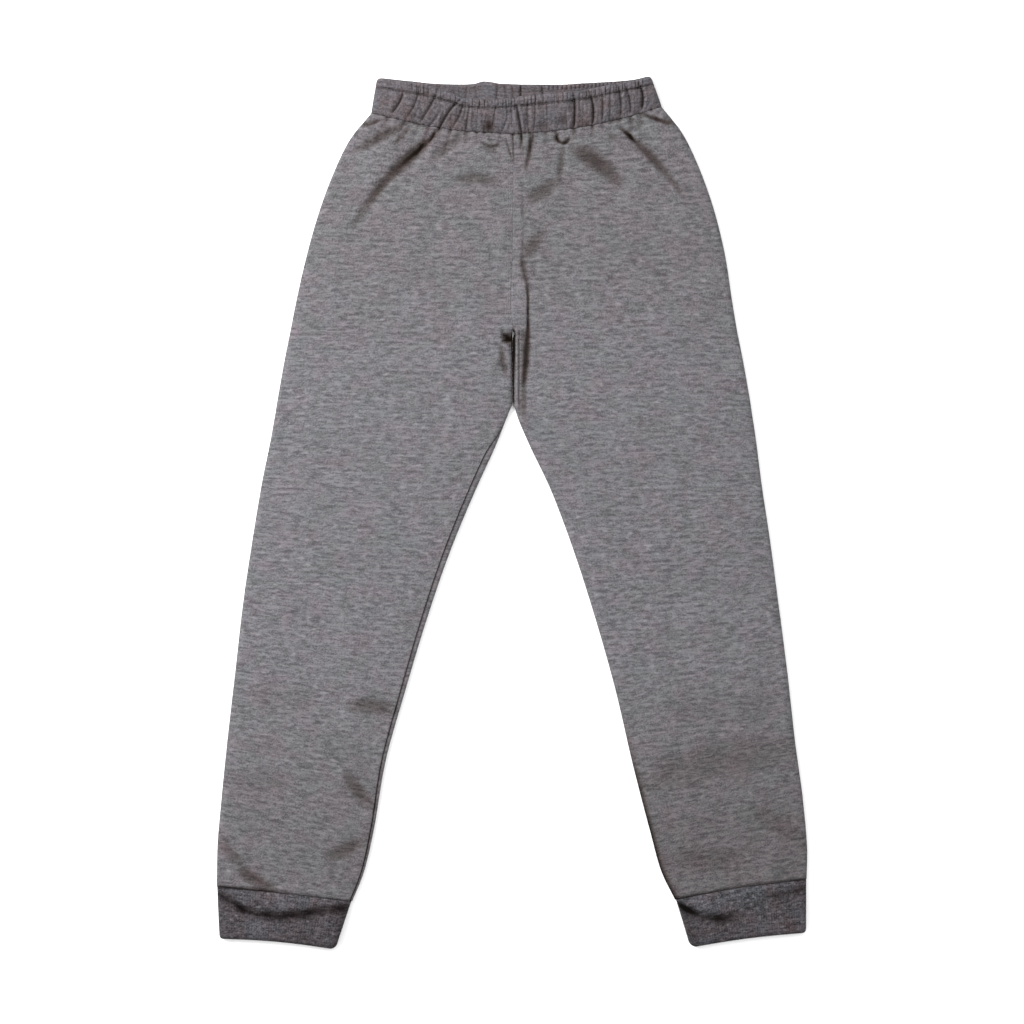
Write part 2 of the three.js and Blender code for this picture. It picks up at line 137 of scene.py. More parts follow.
RIGHT_ROWS = np.array([
    (-119.3, 338.7, 1.3, 320.4, -4.2),
    (-137.7, 315.8, 1.3, 305.6, -2.5),
    (-153.8, 281.8, 1.1, 277.5, -1.0),
    (-165.8, 247.8, 0.8, 246.1, 0.0),
    (-175.1, 213.8, 0.4, 212.1, 0.0),
    (-182.8, 179.8, -0.8, 179.8, 0.0),
    (-187.8, 154.3, 0.6, 156.0, 0.0),
    (-192.9, 128.8, 0.6, 124.5, 0.0),
    (-198.9, 94.8, 0.6, 92.2, 0.0),
    (-199.5, 91.0, -0.9, 88.5, 0.0),
    (-201.0, 82.0, -4.9, 78.5, 0.0),
    (-204.8, 60.8, -13.6, 56.5, 0.0),
    (-211.7, 26.8, -30.6, 19.1, 0.0),
    (-220.2, -24.2, -52.7, -34.4, 0.0),
    (-227.8, -75.2, -71.4, -88.8, 0.0),
    (-234.6, -134.7, -90.1, -150.9, 0.0),
    (-241.4, -194.2, -107.7, -214.6, 0.0),
    (-246.5, -245.2, -116.9, -269.0, 0.0),
    (-249.9, -287.7, -125.0, -303.9, 0.3),
    (-250.3, -317.1, -135.2, -329.8, 0.8),
])

LEFT_ROWS = np.array([
    (127.5, 343.8, 1.3, 320.4, -5.0),
    (145.3, 320.9, 1.3, 305.6, -3.0),
    (163.2, 281.8, 1.1, 277.5, -1.0),
    (174.2, 247.8, 0.8, 246.1, 0.0),
    (181.9, 213.8, 0.4, 212.1, 0.0),
    (187.0, 179.8, -0.8, 179.8, 0.0),
    (191.2, 154.3, 0.6, 156.0, 0.0),
    (196.3, 128.8, 0.7, 124.5, 0.0),
    (202.3, 94.8, 0.9, 92.2, 0.0),
    (202.9, 91.0, 2.6, 88.5, 0.0),
    (204.2, 82.0, 5.8, 78.5, 0.0),
    (207.4, 60.8, 15.3, 56.5, 0.0),
    (211.7, 26.8, 33.1, 19.1, 0.0),
    (219.3, -24.2, 53.1, -34.4, 0.0),
    (226.1, -75.2, 70.5, -88.8, 0.0),
    (233.8, -134.7, 88.0, -150.9, 0.0),
    (240.5, -194.2, 102.8, -214.6, 0.0),
    (247.3, -245.2, 116.9, -269.0, 0.4),
    (250.8, -287.7, 126.6, -303.9, 1.4),
    (250.3, -310.7, 138.5, -328.5, 2.2),
])

CROTCH_ROW = 6
CLOSING = 1 / 3
APEX_Y = 92.2
HEM_Y = -330.0
CROTCH_Y = 150.0
SLIT_X = 0.75
SLIT_MIDDLE = 1.5
SLIT_TOP_Y = 153.0
SLIT_FOOT_Y = 86.0
BACK_RISE = 15.0
RISE_ROWS = 3.0

# The large creases: start, middle and end (x, y), half width, depth, the height of
# the lip beside it and how much shade is painted on its floor. A lip is on the path's left if it is
# positive and on its right if it is negative.
CREASES = (
    (-64.6, 323.6, -66.0, 318.0, -72.5, 311.5, 1.6, 2.4, 0.3, 0.90),
    (-67.0, 317.5, -82.0, 305.5, -103.0, 285.5, 3.4, 1.6, 0.0, 0.84),
    (-69.0, 315.5, -86.0, 303.0, -112.0, 275.5, 5.2, 3.2, 1.0, 0.70),
    (-98.0, 291.5, -113.0, 275.0, -124.0, 257.0, 4.2, 2.4, 0.6, 0.62),
    (-113.0, 274.5, -124.5, 258.0, -134.5, 240.0, 4.2, 1.6, 0.4, 0.38),
    (-42.0, 319.0, -52.0, 312.0, -68.0, 299.0, 4.6, 1.5, 0.4, 0.35),
    (-110.8, 332.4, -116.0, 331.0, -124.0, 327.0, 1.7, 1.5, 0.0, 0.6),
    (-91.0, 328.4, -106.0, 321.0, -133.4, 306.0, 4.4, 2.2, 0.5, 0.5),
    (-86.0, 327.0, -92.0, 320.0, -99.0, 312.0, 2.2, 1.0, 0.0, 0.45),
    (92.8, 324.8, 100.0, 319.5, 107.5, 311.0, 2.0, 2.3, -0.6, 0.86),
    (103.0, 315.5, 118.0, 303.0, 133.0, 284.0, 4.0, 2.3, -0.6, 0.62),
    (125.0, 295.0, 136.0, 281.0, 144.0, 270.0, 3.0, 1.4, -0.4, 0.42),
    (110.6, 337.4, 124.6, 332.8, 139.7, 327.4, 1.9, 1.7, 0.0, 0.7),
    (52.0, 307.0, 73.0, 300.5, 90.5, 279.0, 7.6, 2.5, -0.5, 0.60),
    (82.0, 319.0, 86.0, 317.5, 90.0, 316.0, 3.4, 0.8, 0.0, 0.3),
    (43.6, 311.0, 42.6, 297.0, 39.5, 278.5, 2.9, 1.2, 0.2, 0.48),
    (38.5, 280.5, 28.0, 272.5, 12.5, 263.5, 6.4, 1.5, 0.3, 0.46),
    (10.6, 268.0, 9.2, 258.0, 9.4, 247.0, 2.4, 0.7, 0.0, 0.26),
    (17.5, 321.4, 15.3, 307.3, 12.0, 289.3, 1.9, 1.5, 0.0, 0.6),
    (-20.0, 321.0, -17.0, 312.0, -13.0, 302.0, 1.6, 0.8, 0.0, 0.3),
    (7.6, 321.0, 8.5, 314.0, 7.0, 307.0, 1.2, 0.9, 0.0, 0.5),
    (-5.5, 318.5, -2.5, 306.0, 1.0, 298.0, 0.9, 0.6, 0.0, 0.55),
    (0.9, 320.5, 1.6, 306.0, 2.0, 294.0, 0.9, 0.6, 0.0, 0.42),
    (-25.5, 314.0, -17.8, 305.6, -9.3, 313.9, 1.7, 1.3, 0.4, 0.55),
    (-24.0, 311.0, -18.0, 308.0, -12.0, 307.0, 4.5, 0.8, 0.0, 0.25),
    (38.8, 320.4, 37.6, 314.2, 43.0, 313.2, 1.8, 2.1, 0.0, 0.78),
    (41.0, 313.2, 47.4, 311.4, 49.0, 318.6, 1.8, 2.1, 0.3, 0.74),
    (9.8, 214.0, 14.5, 224.0, 27.0, 238.0, 5.6, 1.2, 0.0, 0.46),
    (-47.6, 281.8, -26.3, 285.3, -11.9, 279.2, 5.0, 1.1, 0.2, 0.42),
    (-60.4, 252.0, -66.3, 235.0, -70.5, 222.3, 9.0, 0.8, 0.0, 0.0),
    (-28.1, 161.1, -17.8, 173.0, -6.8, 185.7, 9.0, 0.9, 0.0, 0.0),
    (-220.0, 60.0, -160.0, 30.0, -120.0, 45.0, 16.0, 1.0, 0.3, 0.0),
    (90.0, 150.0, 130.0, 120.0, 190.0, 130.0, 17.0, 0.9, 0.3, 0.0),
    (-205.0, -40.0, -160.0, -62.0, -110.0, -50.0, 15.0, 0.9, 0.3, 0.0),
    (100.0, -70.0, 150.0, -52.0, 205.0, -75.0, 15.0, 0.9, 0.3, 0.0),
    (-138.0, -165.0, -118.0, -161.5, -98.0, -168.0, 6.5, 1.5, 0.4, 0.54),
    (-225.0, -150.0, -190.0, -165.0, -165.0, -160.0, 11.0, 1.1, 0.3, 0.14),
    (-141.0, -222.0, -131.0, -236.0, -118.0, -250.0, 6.0, 1.6, 0.4, 0.48),
    (-244.0, -280.0, -236.0, -292.0, -226.0, -302.0, 4.6, 1.4, 0.3, 0.36),
    (-231.0, -300.0, -220.0, -311.0, -200.0, -319.5, 4.8, 1.7, 0.4, 0.52),
    (-155.0, -292.0, -142.5, -287.4, -124.0, -277.5, 5.8, 1.4, 0.3, 0.44),
    (-235.0, -225.0, -215.0, -232.0, -190.0, -226.0, 10.0, 1.0, 0.2, 0.18),
    (204.8, -253.7, 228.7, -263.9, 250.0, -283.8, 7.5, 1.5, 0.4, 0.18),
    (118.1, -226.5, 177.7, -205.5, 242.2, -198.5, 16.0, 1.5, 0.3, 0.26),
    (130.0, -160.0, 175.0, -176.0, 230.0, -160.0, 13.0, 1.2, 0.3, 0.16),
    (140.0, -290.0, 165.0, -300.0, 200.0, -290.0, 9.0, 1.2, 0.3, 0.2),
    (-9.2, 141.0, -7.6, 128.0, -4.4, 115.6, 2.8, 1.7, 0.6, 0.66),
)
CREASE_SAMPLES = 20

# Gathers of the waistband's front: x at the seam, at two fifths and at four fifths of
# the waistband's height, depth, and the parts of the height where it starts and ends.
GATHERS = np.array([
    (-105.4, -95.5, -91.8, 1.00, 0.06, 0.68),
    (-97.5, -93.0, -88.5, 0.25, 0.10, 0.60),
    (-91.0, -82.9, -78.6, 0.75, -0.05, 0.97),
    (-83.5, -79.0, -75.0, 0.25, 0.00, 0.35),
    (-78.6, -70.6, -64.2, 0.90, 0.00, 0.99),
    (-69.7, -60.8, -55.3, 0.75, -0.10, 0.36),
    (-61.0, -54.2, -46.0, 1.15, -0.10, 0.97),
    (-51.4, -44.6, -41.4, 0.80, -0.05, 0.78),
    (-45.0, -40.5, -38.5, 0.25, 0.20, 0.90),
    (-38.7, -37.2, -35.4, 0.65, -0.05, 0.78),
    (-29.5, -29.0, -28.0, 0.30, 0.00, 0.80),
    (-23.5, -22.0, -21.5, 0.30, -0.10, 0.45),
    (-17.4, -15.0, -13.3, 0.55, 0.12, 0.80),
    (-9.4, -4.2, -4.7, 0.50, -0.10, 0.76),
    (0.0, 0.6, 0.9, 0.35, 0.05, 0.60),
    (8.5, 6.5, 3.8, 1.00, -0.10, 0.80),
    (14.9, 13.6, 13.6, 0.65, -0.10, 0.82),
    (18.7, 20.0, 19.6, 0.45, 0.00, 0.85),
    (30.6, 30.2, 29.8, 0.40, -0.05, 0.78),
    (38.0, 42.0, 45.0, 0.35, -0.05, 0.50),
    (47.0, 46.5, 46.0, 0.25, -0.05, 0.55),
    (52.7, 53.6, 53.1, 1.15, -0.05, 0.98),
    (60.4, 60.8, 60.4, 0.30, -0.05, 0.60),
    (68.4, 69.3, 67.2, 1.10, -0.05, 0.99),
    (76.5, 77.4, 76.5, 0.75, 0.00, 0.99),
    (83.3, 83.6, 83.3, 0.50, 0.00, 0.90),
    (92.2, 92.7, 91.0, 0.85, 0.00, 0.98),
    (100.3, 100.3, 97.3, 0.80, 0.00, 0.96),
    (109.6, 111.4, 108.8, 1.15, 0.05, 0.90),
])
GATHER_BEND = 0.4
GATHER_TOP = 0.8
# How far the gathers' bends lie over the seam, and the seed of their puckers' lengths.
BEND_HEIGHT = 11.2
PUCKER_SEED = 7

# Soft dents in the waistband's front: x, part of its height, half width, half height
# and how much shade is painted in them.
BAND_DENTS = (
    (-19.5, 0.20, 6.5, 8.0, 0.88),
    (25.5, 0.18, 7.0, 4.5, 0.62),
    (42.5, 0.25, 6.0, 6.0, 0.62),
    (-42.0, 0.82, 7.0, 3.0, 0.48),
    (62.0, 0.08, 6.0, 3.5, 0.55),
    (-86.0, 0.15, 9.0, 5.0, 0.40),
    (84.0, 0.10, 9.0, 4.0, 0.36),
)

# Gathers inside the waistband's back: x and depth.
BACK_GATHERS = (
    (-60.0, 0.35), (-49.0, 0.25), (-39.2, 0.50), (-30.5, 0.35), (-13.6, 0.60), (-5.5, 0.40),
    (0.4, 0.50), (8.8, 1.00), (20.5, 0.35), (26.8, 0.90),
)

# Waistband: its corners at the seam and on top, and the upper edges of its front and
# of its back.
BAND_FOOT = (-119.3, 127.5)
BAND_TOP = (-114.8, 119.0)
BAND_EDGES = np.array([
    (-113.1, 367.6, 369.2),
    (-85.0, 364.6, 366.2),
    (-62.9, 360.3, 364.1),
    (-50.2, 355.7, 363.6),
    (-41.7, 351.5, 363.5),
    (-32.3, 350.4, 364.0),
    (-23.8, 350.1, 366.1),
    (-17.9, 350.0, 365.6),
    (-10.5, 350.6, 364.3),
    (11.1, 353.5, 363.5),
    (40.8, 356.0, 363.4),
    (60.4, 358.3, 364.6),
    (89.3, 363.8, 366.1),
    (103.7, 366.2, 367.6),
    (117.0, 369.0, 370.8),
])

# The crisp edge of the raised cloth beside the centre front seam and the crotch: y, x,
# how strong it is, and how far its shadow reaches to the left leg's side and back.
ALLOWANCE = np.array([
    (300.0, 7.0, 0.00, 1.4, 0.5),
    (269.0, 8.6, 0.12, 1.6, 0.8),
    (244.4, 9.4, 0.14, 1.6, 0.8),
    (225.0, 8.8, 0.22, 2.4, 1.8),
    (212.1, 8.6, 0.48, 3.6, 3.0),
    (203.6, 10.4, 0.54, 3.4, 3.0),
    (193.4, 12.7, 0.64, 2.9, 2.2),
    (181.5, 13.4, 0.80, 1.8, 0.8),
    (168.7, 13.3, 0.88, 1.5, 0.5),
    (158.5, 13.2, 0.88, 2.6, 0.9),
    (150.0, 13.4, 0.98, 3.0, 2.8),
    (137.3, 12.7, 1.00, 3.4, 3.9),
    (124.5, 11.8, 1.00, 3.4, 3.9),
    (111.8, 10.4, 0.84, 2.9, 3.3),
    (99.0, 8.6, 0.25, 1.4, 1.4),
    (80.0, 8.0, 0.00, 1.4, 1.0),
])
# How wide the open slit at the crotch and the shade painted in it are: y and width.
SLIT_WIDTHS = np.array([
    (158.0, 0.3),
    (153.5, 2.4),
    (149.0, 3.4),
    (143.0, 3.2),
    (137.0, 2.7),
    (120.0, 2.1),
    (104.0, 1.5),
    (92.0, 0.8),
    (84.0, 0.0),
])
# The hollow where the slit opens: its middle and its half size.
HOLLOW = (-3.4, 147.0)
HOLLOW_SIZE = 7.0

# The trough across each cuff: the part of the width from the outer side, the part of
# the length from the seam, and how deep it is.
RIGHT_TROUGH = np.array([
    (0.00, 0.10, 0.60), (0.10, 0.22, 0.75), (0.19, 0.36, 0.90), (0.31, 0.44, 0.85), (0.50, 0.43, 1.00),
    (0.70, 0.31, 1.00), (0.83, 0.20, 0.95), (0.93, 0.12, 0.90), (1.00, 0.07, 0.60),
])
LEFT_TROUGH = np.array([
    (0.00, 0.13, 0.55), (0.15, 0.17, 0.55), (0.30, 0.20, 0.35), (0.45, 0.36, 0.15), (0.57, 0.47, 0.45),
    (0.63, 0.49, 0.95), (0.72, 0.49, 1.00), (0.83, 0.38, 1.05), (0.93, 0.20, 1.15), (1.00, 0.06, 1.15),
])


def smooth(value: np.ndarray) -> np.ndarray:
    """Returns a soft step from 0 to 1 over values from 0 to 1."""
    part = np.clip(value, 0.0, 1.0)
    return part * part * (3.0 - 2.0 * part)


def bell(value: np.ndarray) -> np.ndarray:
    """Returns a bell curve, 1 at zero and about a third at one."""
    return np.exp(-np.square(value))


def mix(first: np.ndarray, second: np.ndarray, part: np.ndarray) -> np.ndarray:
    """Returns the value a part of the way from the first to the second."""
    return first + (second - first) * part


def between(rows: np.ndarray, column: int, places: np.ndarray) -> np.ndarray:
    """Reads one column of a table between its rows, without overshoot.

    Args:
        rows: The table.
        column: Which of its columns.
        places: Row numbers, with fractions between two rows.

    Returns:
        The column's value at each place.
    """
    values = rows[:, column]
    steps = np.diff(values)
    product = steps[:-1] * steps[1:]
    total = np.where(product > 0, steps[:-1] + steps[1:], 1.0)
    slopes = np.concatenate(([steps[0]], np.where(product > 0, 2 * product / total, 0.0), [steps[-1]]))
    index = np.clip(np.asarray(places).astype(int), 0, len(steps) - 1)
    part = places - index
    rise, start, end = steps[index], slopes[index], slopes[index + 1]
    bend = start + end - 2 * rise
    return values[index] + part * (start + part * (3 * rise - 2 * start - end + part * bend))


def place_at(rows: np.ndarray, values: np.ndarray) -> np.ndarray:
    """Returns the places in a table where its first column has the values."""
    return np.interp(values, rows[:, 0], np.arange(len(rows)))


def gather_path(foot: float, bend: float, top: float, part: np.ndarray) -> np.ndarray:
    """Bends a gather through its three places.

    Args:
        foot: Its x at the waist seam.
        bend: Its x at the lower of the two other places.
        top: Its x at the upper one.
        part: Parts of the waistband's height.

    Returns:
        Its x at each part of the height.
    """
    first = (part - GATHER_BEND) * (part - GATHER_TOP) / (GATHER_BEND * GATHER_TOP)
    second = part * (part - GATHER_TOP) / (GATHER_BEND * (GATHER_BEND - GATHER_TOP))
    third = part * (part - GATHER_BEND) / (GATHER_TOP * (GATHER_TOP - GATHER_BEND))
    return foot * first + bend * second + top * third


def corner(inside: np.ndarray, radius: float) -> np.ndarray:
    """Returns how far a rounded corner draws an edge in, at distances from the side."""
    short = np.clip(radius - inside, 0.0, radius)
    return radius - np.sqrt(radius * radius - short * short)


def ripples(x: np.ndarray, y: np.ndarray, waves: Waves) -> np.ndarray:
    """Sums seeded waves in all directions into an even, soft unevenness.

    Args:
        x: Places across.
        y: Places along.
        waves: The waves' seed and their longest and shortest wavelength.

    Returns:
        A height at each place, about -1 to 1.
    """
    dice = np.random.default_rng(waves.seed)
    total = np.zeros(np.broadcast_shapes(np.shape(x), np.shape(y)))
    for _ in range(WAVE_COUNT):
        turn = dice.uniform(0, math.pi)
        length = dice.uniform(waves.shortest, waves.longest)
        phase = dice.uniform(0, 2 * math.pi)
        along = x * math.cos(turn) + y * math.sin(turn)
        total += np.sin(2 * math.pi * along / length + phase)
    return total / math.sqrt(WAVE_COUNT * 2.0)


def seam_dashes(x: np.ndarray) -> np.ndarray:
    """Returns how far the waist seam is drawn in between its gathers, from 0 to 1."""
    return np.clip(0.42 + 0.75 * ripples(x, 0.0 * x, WAIST_PULL), 0.0, 1.0)


@dataclass
class Relief:
    """The height of the front's cloth, with its creases, puckers and seams, and the shade painted in them."""

    undulation: float = 0.5
    flutter: float = 0.08
    pucker: float = 1.5
    pucker_width: float = 1.3
    pucker_length: float = 10.0

    def creases(self, x: np.ndarray, y: np.ndarray) -> tuple[np.ndarray, np.ndarray]:
        """Adds up the large creases.

        Args:
            x: Places across.
            y: Places along.

        Returns:
            The height that they add and the shade painted in them.
        """
        trough = np.zeros_like(x)
        height = np.zeros_like(x)
        dark = np.zeros_like(x)
        steps = np.linspace(0.0, 1.0, CREASE_SAMPLES + 1)
        for x0, y0, x1, y1, x2, y2, width, depth, lip, shade in CREASES:
            path_x = mix(mix(x0, x1, steps), mix(x1, x2, steps), steps)
            path_y = mix(mix(y0, y1, steps), mix(y1, y2, steps), steps)
            nearest = np.full(x.shape, np.inf)
            along = np.zeros_like(x)
            side = np.zeros_like(x)
            for i in range(CREASE_SAMPLES):
                run_x, run_y = path_x[i + 1] - path_x[i], path_y[i + 1] - path_y[i]
                run = run_x * run_x + run_y * run_y
                off_x, off_y = x - path_x[i], y - path_y[i]
                part = np.clip((off_x * run_x + off_y * run_y) / run, 0.0, 1.0)
                distance = np.hypot(off_x - part * run_x, off_y - part * run_y)
                closer = distance < nearest
                nearest = np.where(closer, distance, nearest)
                along = np.where(closer, (i + part) / CREASE_SAMPLES, along)
                side = np.where(closer, np.sign(run_x * off_y - run_y * off_x), side)
            taper = np.sqrt(np.sin(np.pi * np.clip(along, 0.01, 0.99)))
            half = width * (0.55 + 0.45 * taper)
            trough = np.maximum(trough, depth * taper * bell(nearest / half))
            beside = nearest * side * math.copysign(1.0, lip)
            height += abs(lip) * taper * bell((beside - 1.9 * half) / half)
            # Painted shade on each crease's floor.
            dark = np.maximum(dark, shade * np.sqrt(taper) * np.exp(-(nearest / (1.05 * half)) ** 3))
        return height - trough, dark

    def puckers(self, x: np.ndarray, y: np.ndarray, below: np.ndarray) -> tuple[np.ndarray, np.ndarray]:
        """Lets each gather of the waistband run on into the cloth under it.

        Args:
            x: Places across.
            y: Places along.
            below: How far each place lies under the waist seam.

        Returns:
            The height that the puckers add and the shade painted in them.
        """
        height = np.zeros_like(x)
        dark = np.zeros_like(x)
        dice = np.random.default_rng(PUCKER_SEED)
        for foot_x, bend_x, _, depth, low, _ in GATHERS:
            reach = self.pucker_length * dice.uniform(0.5, 1.5)
            strength = depth * float(1.0 - smooth(np.float64(low / 0.2)))
            lean = (foot_x - bend_x) / BEND_HEIGHT * 0.6
            off = (x - foot_x - lean * below) / self.pucker_width
            fade = np.exp(-below / reach)
            height -= self.pucker * strength * bell(off) * fade
            # Painted shade in the puckers.
            dark = np.maximum(dark, 0.6 * strength * bell(off) * fade)
        fine = ripples(x, 0.15 * y, UNDER_WAIST) * np.exp(-below / 7.0)
        return height + 0.45 * fine, dark + 0.3 * np.maximum(0.0, -fine)

    def seams(self, x: np.ndarray, y: np.ndarray) -> tuple[np.ndarray, np.ndarray]:
        """Shapes the centre front seam, the raised cloth beside it and the crotch.

        Args:
            x: Places across.
            y: Places along.

        Returns:
            The height that they add and the shade painted in them.
        """
        over_crotch = smooth((y - CROTCH_Y) / 8.0)
        height, dark = self.centre_seam(x, y, over_crotch)
        ridges, ridge_dark = self.crotch_ridges(x, y, over_crotch)
        slit, slit_dark = self.slit(x, y)
        hollow, hollow_dark = self.hollow(x, y)
        return height + ridges - slit - hollow, np.maximum(dark, ridge_dark) + slit_dark + hollow_dark

    def centre_seam(self, x: np.ndarray, y: np.ndarray,
                    over_crotch: np.ndarray) -> tuple[np.ndarray, np.ndarray]:
        """Shapes the centre front seam and the edge of the raised cloth beside it.

        Args:
            x: Places across.
            y: Places along.
            over_crotch: How far each place lies over the crotch, from 0 to 1.

        Returns:
            The height that they add and the shadow painted beside them.
        """
        seam = np.interp(y, RIGHT_ROWS[CROTCH_ROW::-1, INNER_Y], RIGHT_ROWS[CROTCH_ROW::-1, INNER_X])
        edge, strength, spread, back_spread = (
            np.interp(y, ALLOWANCE[::-1, 0], ALLOWANCE[::-1, i]) for i in (1, 2, 3, 4)
        )
        off = x - seam
        height = -0.08 * bell(off / 0.8) * over_crotch
        band = smooth((off + 0.8) / 2.6) * (1.0 - smooth((x - edge + 0.7) / 1.4))
        height += 0.9 * band * strength * over_crotch
        strength = strength * (0.93 + 0.14 * over_crotch * ripples(0.0 * x, y, CENTRE_EDGE))
        beyond = x - edge
        shoulder = np.where(beyond > 0.9, spread, np.maximum(0.9, 0.6 * back_spread))
        height -= 1.4 * strength * bell((beyond - 0.9) / shoulder)
        shadow = np.exp(-np.abs(beyond / np.where(beyond > 0, spread, back_spread)) ** 3)
        return height, 0.95 * strength * shadow

    def crotch_ridges(self, x: np.ndarray, y: np.ndarray,
                      over_crotch: np.ndarray) -> tuple[np.ndarray, np.ndarray]:
        """Shapes the ridges of the left leg's cloth beside the open slit.

        Args:
            x: Places across.
            y: Places along.
            over_crotch: How far each place lies over the crotch, from 0 to 1.

        Returns:
            The height that they add and the shade painted between them.
        """
        near = (1.0 - over_crotch) * smooth((y - 62.0) / 34.0) * (x > SLIT_X)
        ridges = bell((x - 4.3) / 1.2) + 1.2 * bell((x - 9.0) / 2.1) - 0.3 * bell((x - 6.1) / 0.7)
        # Painted shade in the groove between the ridges and over the outer ridge.
        shaded = smooth((x - 5.0) / 1.2) * (1.0 - smooth((x - 12.0) / 1.5))
        return near * ridges, near * (0.12 * bell((x - 6.0) / 0.7) + 0.46 * shaded)

    def slit(self, x: np.ndarray, y: np.ndarray) -> tuple[np.ndarray, np.ndarray]:
        """Shapes the open slit between the legs, from the crotch down.

        Args:
            x: Places across.
            y: Places along.

        Returns:
            How deep it is and the shade painted in it.
        """
        in_slit = (1.0 - smooth((y - SLIT_TOP_Y) / 5.0)) * smooth((y - SLIT_FOOT_Y) / 10.0)
        wide = np.interp(y, SLIT_WIDTHS[::-1, 0], SLIT_WIDTHS[::-1, 1])
        off = np.abs(x - SLIT_MIDDLE)
        deepest = np.where(x > SLIT_X, 1.2, 2.6)
        depth = in_slit * deepest * (1.0 - smooth(off / (0.8 + 0.8 * wide)))
        return depth, 1.15 * in_slit * (1.0 - smooth((off - 0.38 * wide) / (0.4 + 0.3 * wide)))

    def hollow(self, x: np.ndarray, y: np.ndarray) -> tuple[np.ndarray, np.ndarray]:
        """Shapes the hollow on the right leg, where the slit opens.

        Args:
            x: Places across.
            y: Places along.

        Returns:
            How deep it is and the shade painted in it.
        """
        on_left = x > SLIT_X
        across, along = x - HOLLOW[0], y - HOLLOW[1]
        radius = np.hypot(across, along + 0.3 * across) / HOLLOW_SIZE + 0.24 * ripples(x, y, HOLLOW_RIM)
        depth = np.where(on_left, 0.0, 3.2 * (1.0 - smooth((radius - 0.2) / 0.9)))
        return depth, np.where(on_left, 0.0, 1.15 * (1.0 - smooth((radius - 0.15) / 1.0)))

    def top(self, x: np.ndarray, y: np.ndarray, inside: np.ndarray, below: np.ndarray,
            above: np.ndarray) -> tuple[np.ndarray, np.ndarray]:
        """Gives the height of the front's outer side.

        Args:
            x: Places across.
            y: Places along.
            inside: How far each place lies inside the nearest folded edge.
            below: How far it lies under the waist seam.
            above: How far it lies over the cuff's seam.

        Returns:
            The height above the table and the shade painted on the cloth, in creases, seams and edges and
            broadly over the hips and shins.
        """
        height = self.plain(inside)
        creases, dark = self.creases(x, y)
        seams, seam_dark = self.seams(x, y)
        puckers, pucker_dark = self.puckers(x, y, below)
        height = height + creases + seams + puckers
        height += self.undulation * ripples(x, y, SWELLS) * smooth(inside / 20.0)
        height += self.flutter * ripples(x, y, FLUTTER)
        uneven = 0.5 + 0.5 * ripples(x, 0 * y, HEM_WAVES)
        dashes = seam_dashes(x)
        low = smooth((-130.0 - y) / 120.0)
        on_left = smooth(x / 50.0)
        fading = mix(1.0, 0.25, smooth((x + 215.0) / 50.0) * (1.0 - on_left)) * mix(1.0, 0.6, on_left)
        height -= (0.1 + 1.1 * dashes) * bell(below / 1.3) + (0.1 + 1.2 * fading ** 2) * bell(above / 1.4)
        # Painted shade under the waist seam, over the cuff's seam and along the left leg's lower inner edge.
        waist_dark = 0.5 * bell(below) * dashes ** 2
        hem_dark = 0.75 * fading ** 1.5 * bell(above / 0.9) * (0.6 + 0.4 * uneven)
        height += 0.7 * bell((above - 4.5) / 3.0) * (0.3 + 0.7 * uneven)
        rim_dark = 0.66 * bell(inside / 3.4) * smooth((x - 60.0) / 20.0) * smooth((200.0 - x) / 20.0) * low
        edge_dark = waist_dark + hem_dark + rim_dark
        # Painted shade: the hips grow darker towards the waist and the shins towards the hem, the left shin
        # most.
        hip_painted_shade = 0.14 * smooth((y - 110.0) / 130.0)
        shin_painted_shade = 0.19 * smooth((-110.0 - y) / 190.0) * (1.0 + 0.7 * smooth(x / 60.0))
        dark = np.maximum(dark, seam_dark) + pucker_dark + edge_dark + (hip_painted_shade + shin_painted_shade)
        return np.maximum(height, LOWEST), np.clip(dark, 0.0, 1.0)

    def plain(self, inside: np.ndarray) -> np.ndarray:
        """Returns the height of the cloth without any creases."""
        return mix(EDGE_HEIGHT, FULL_HEIGHT, smooth(inside / RISE))


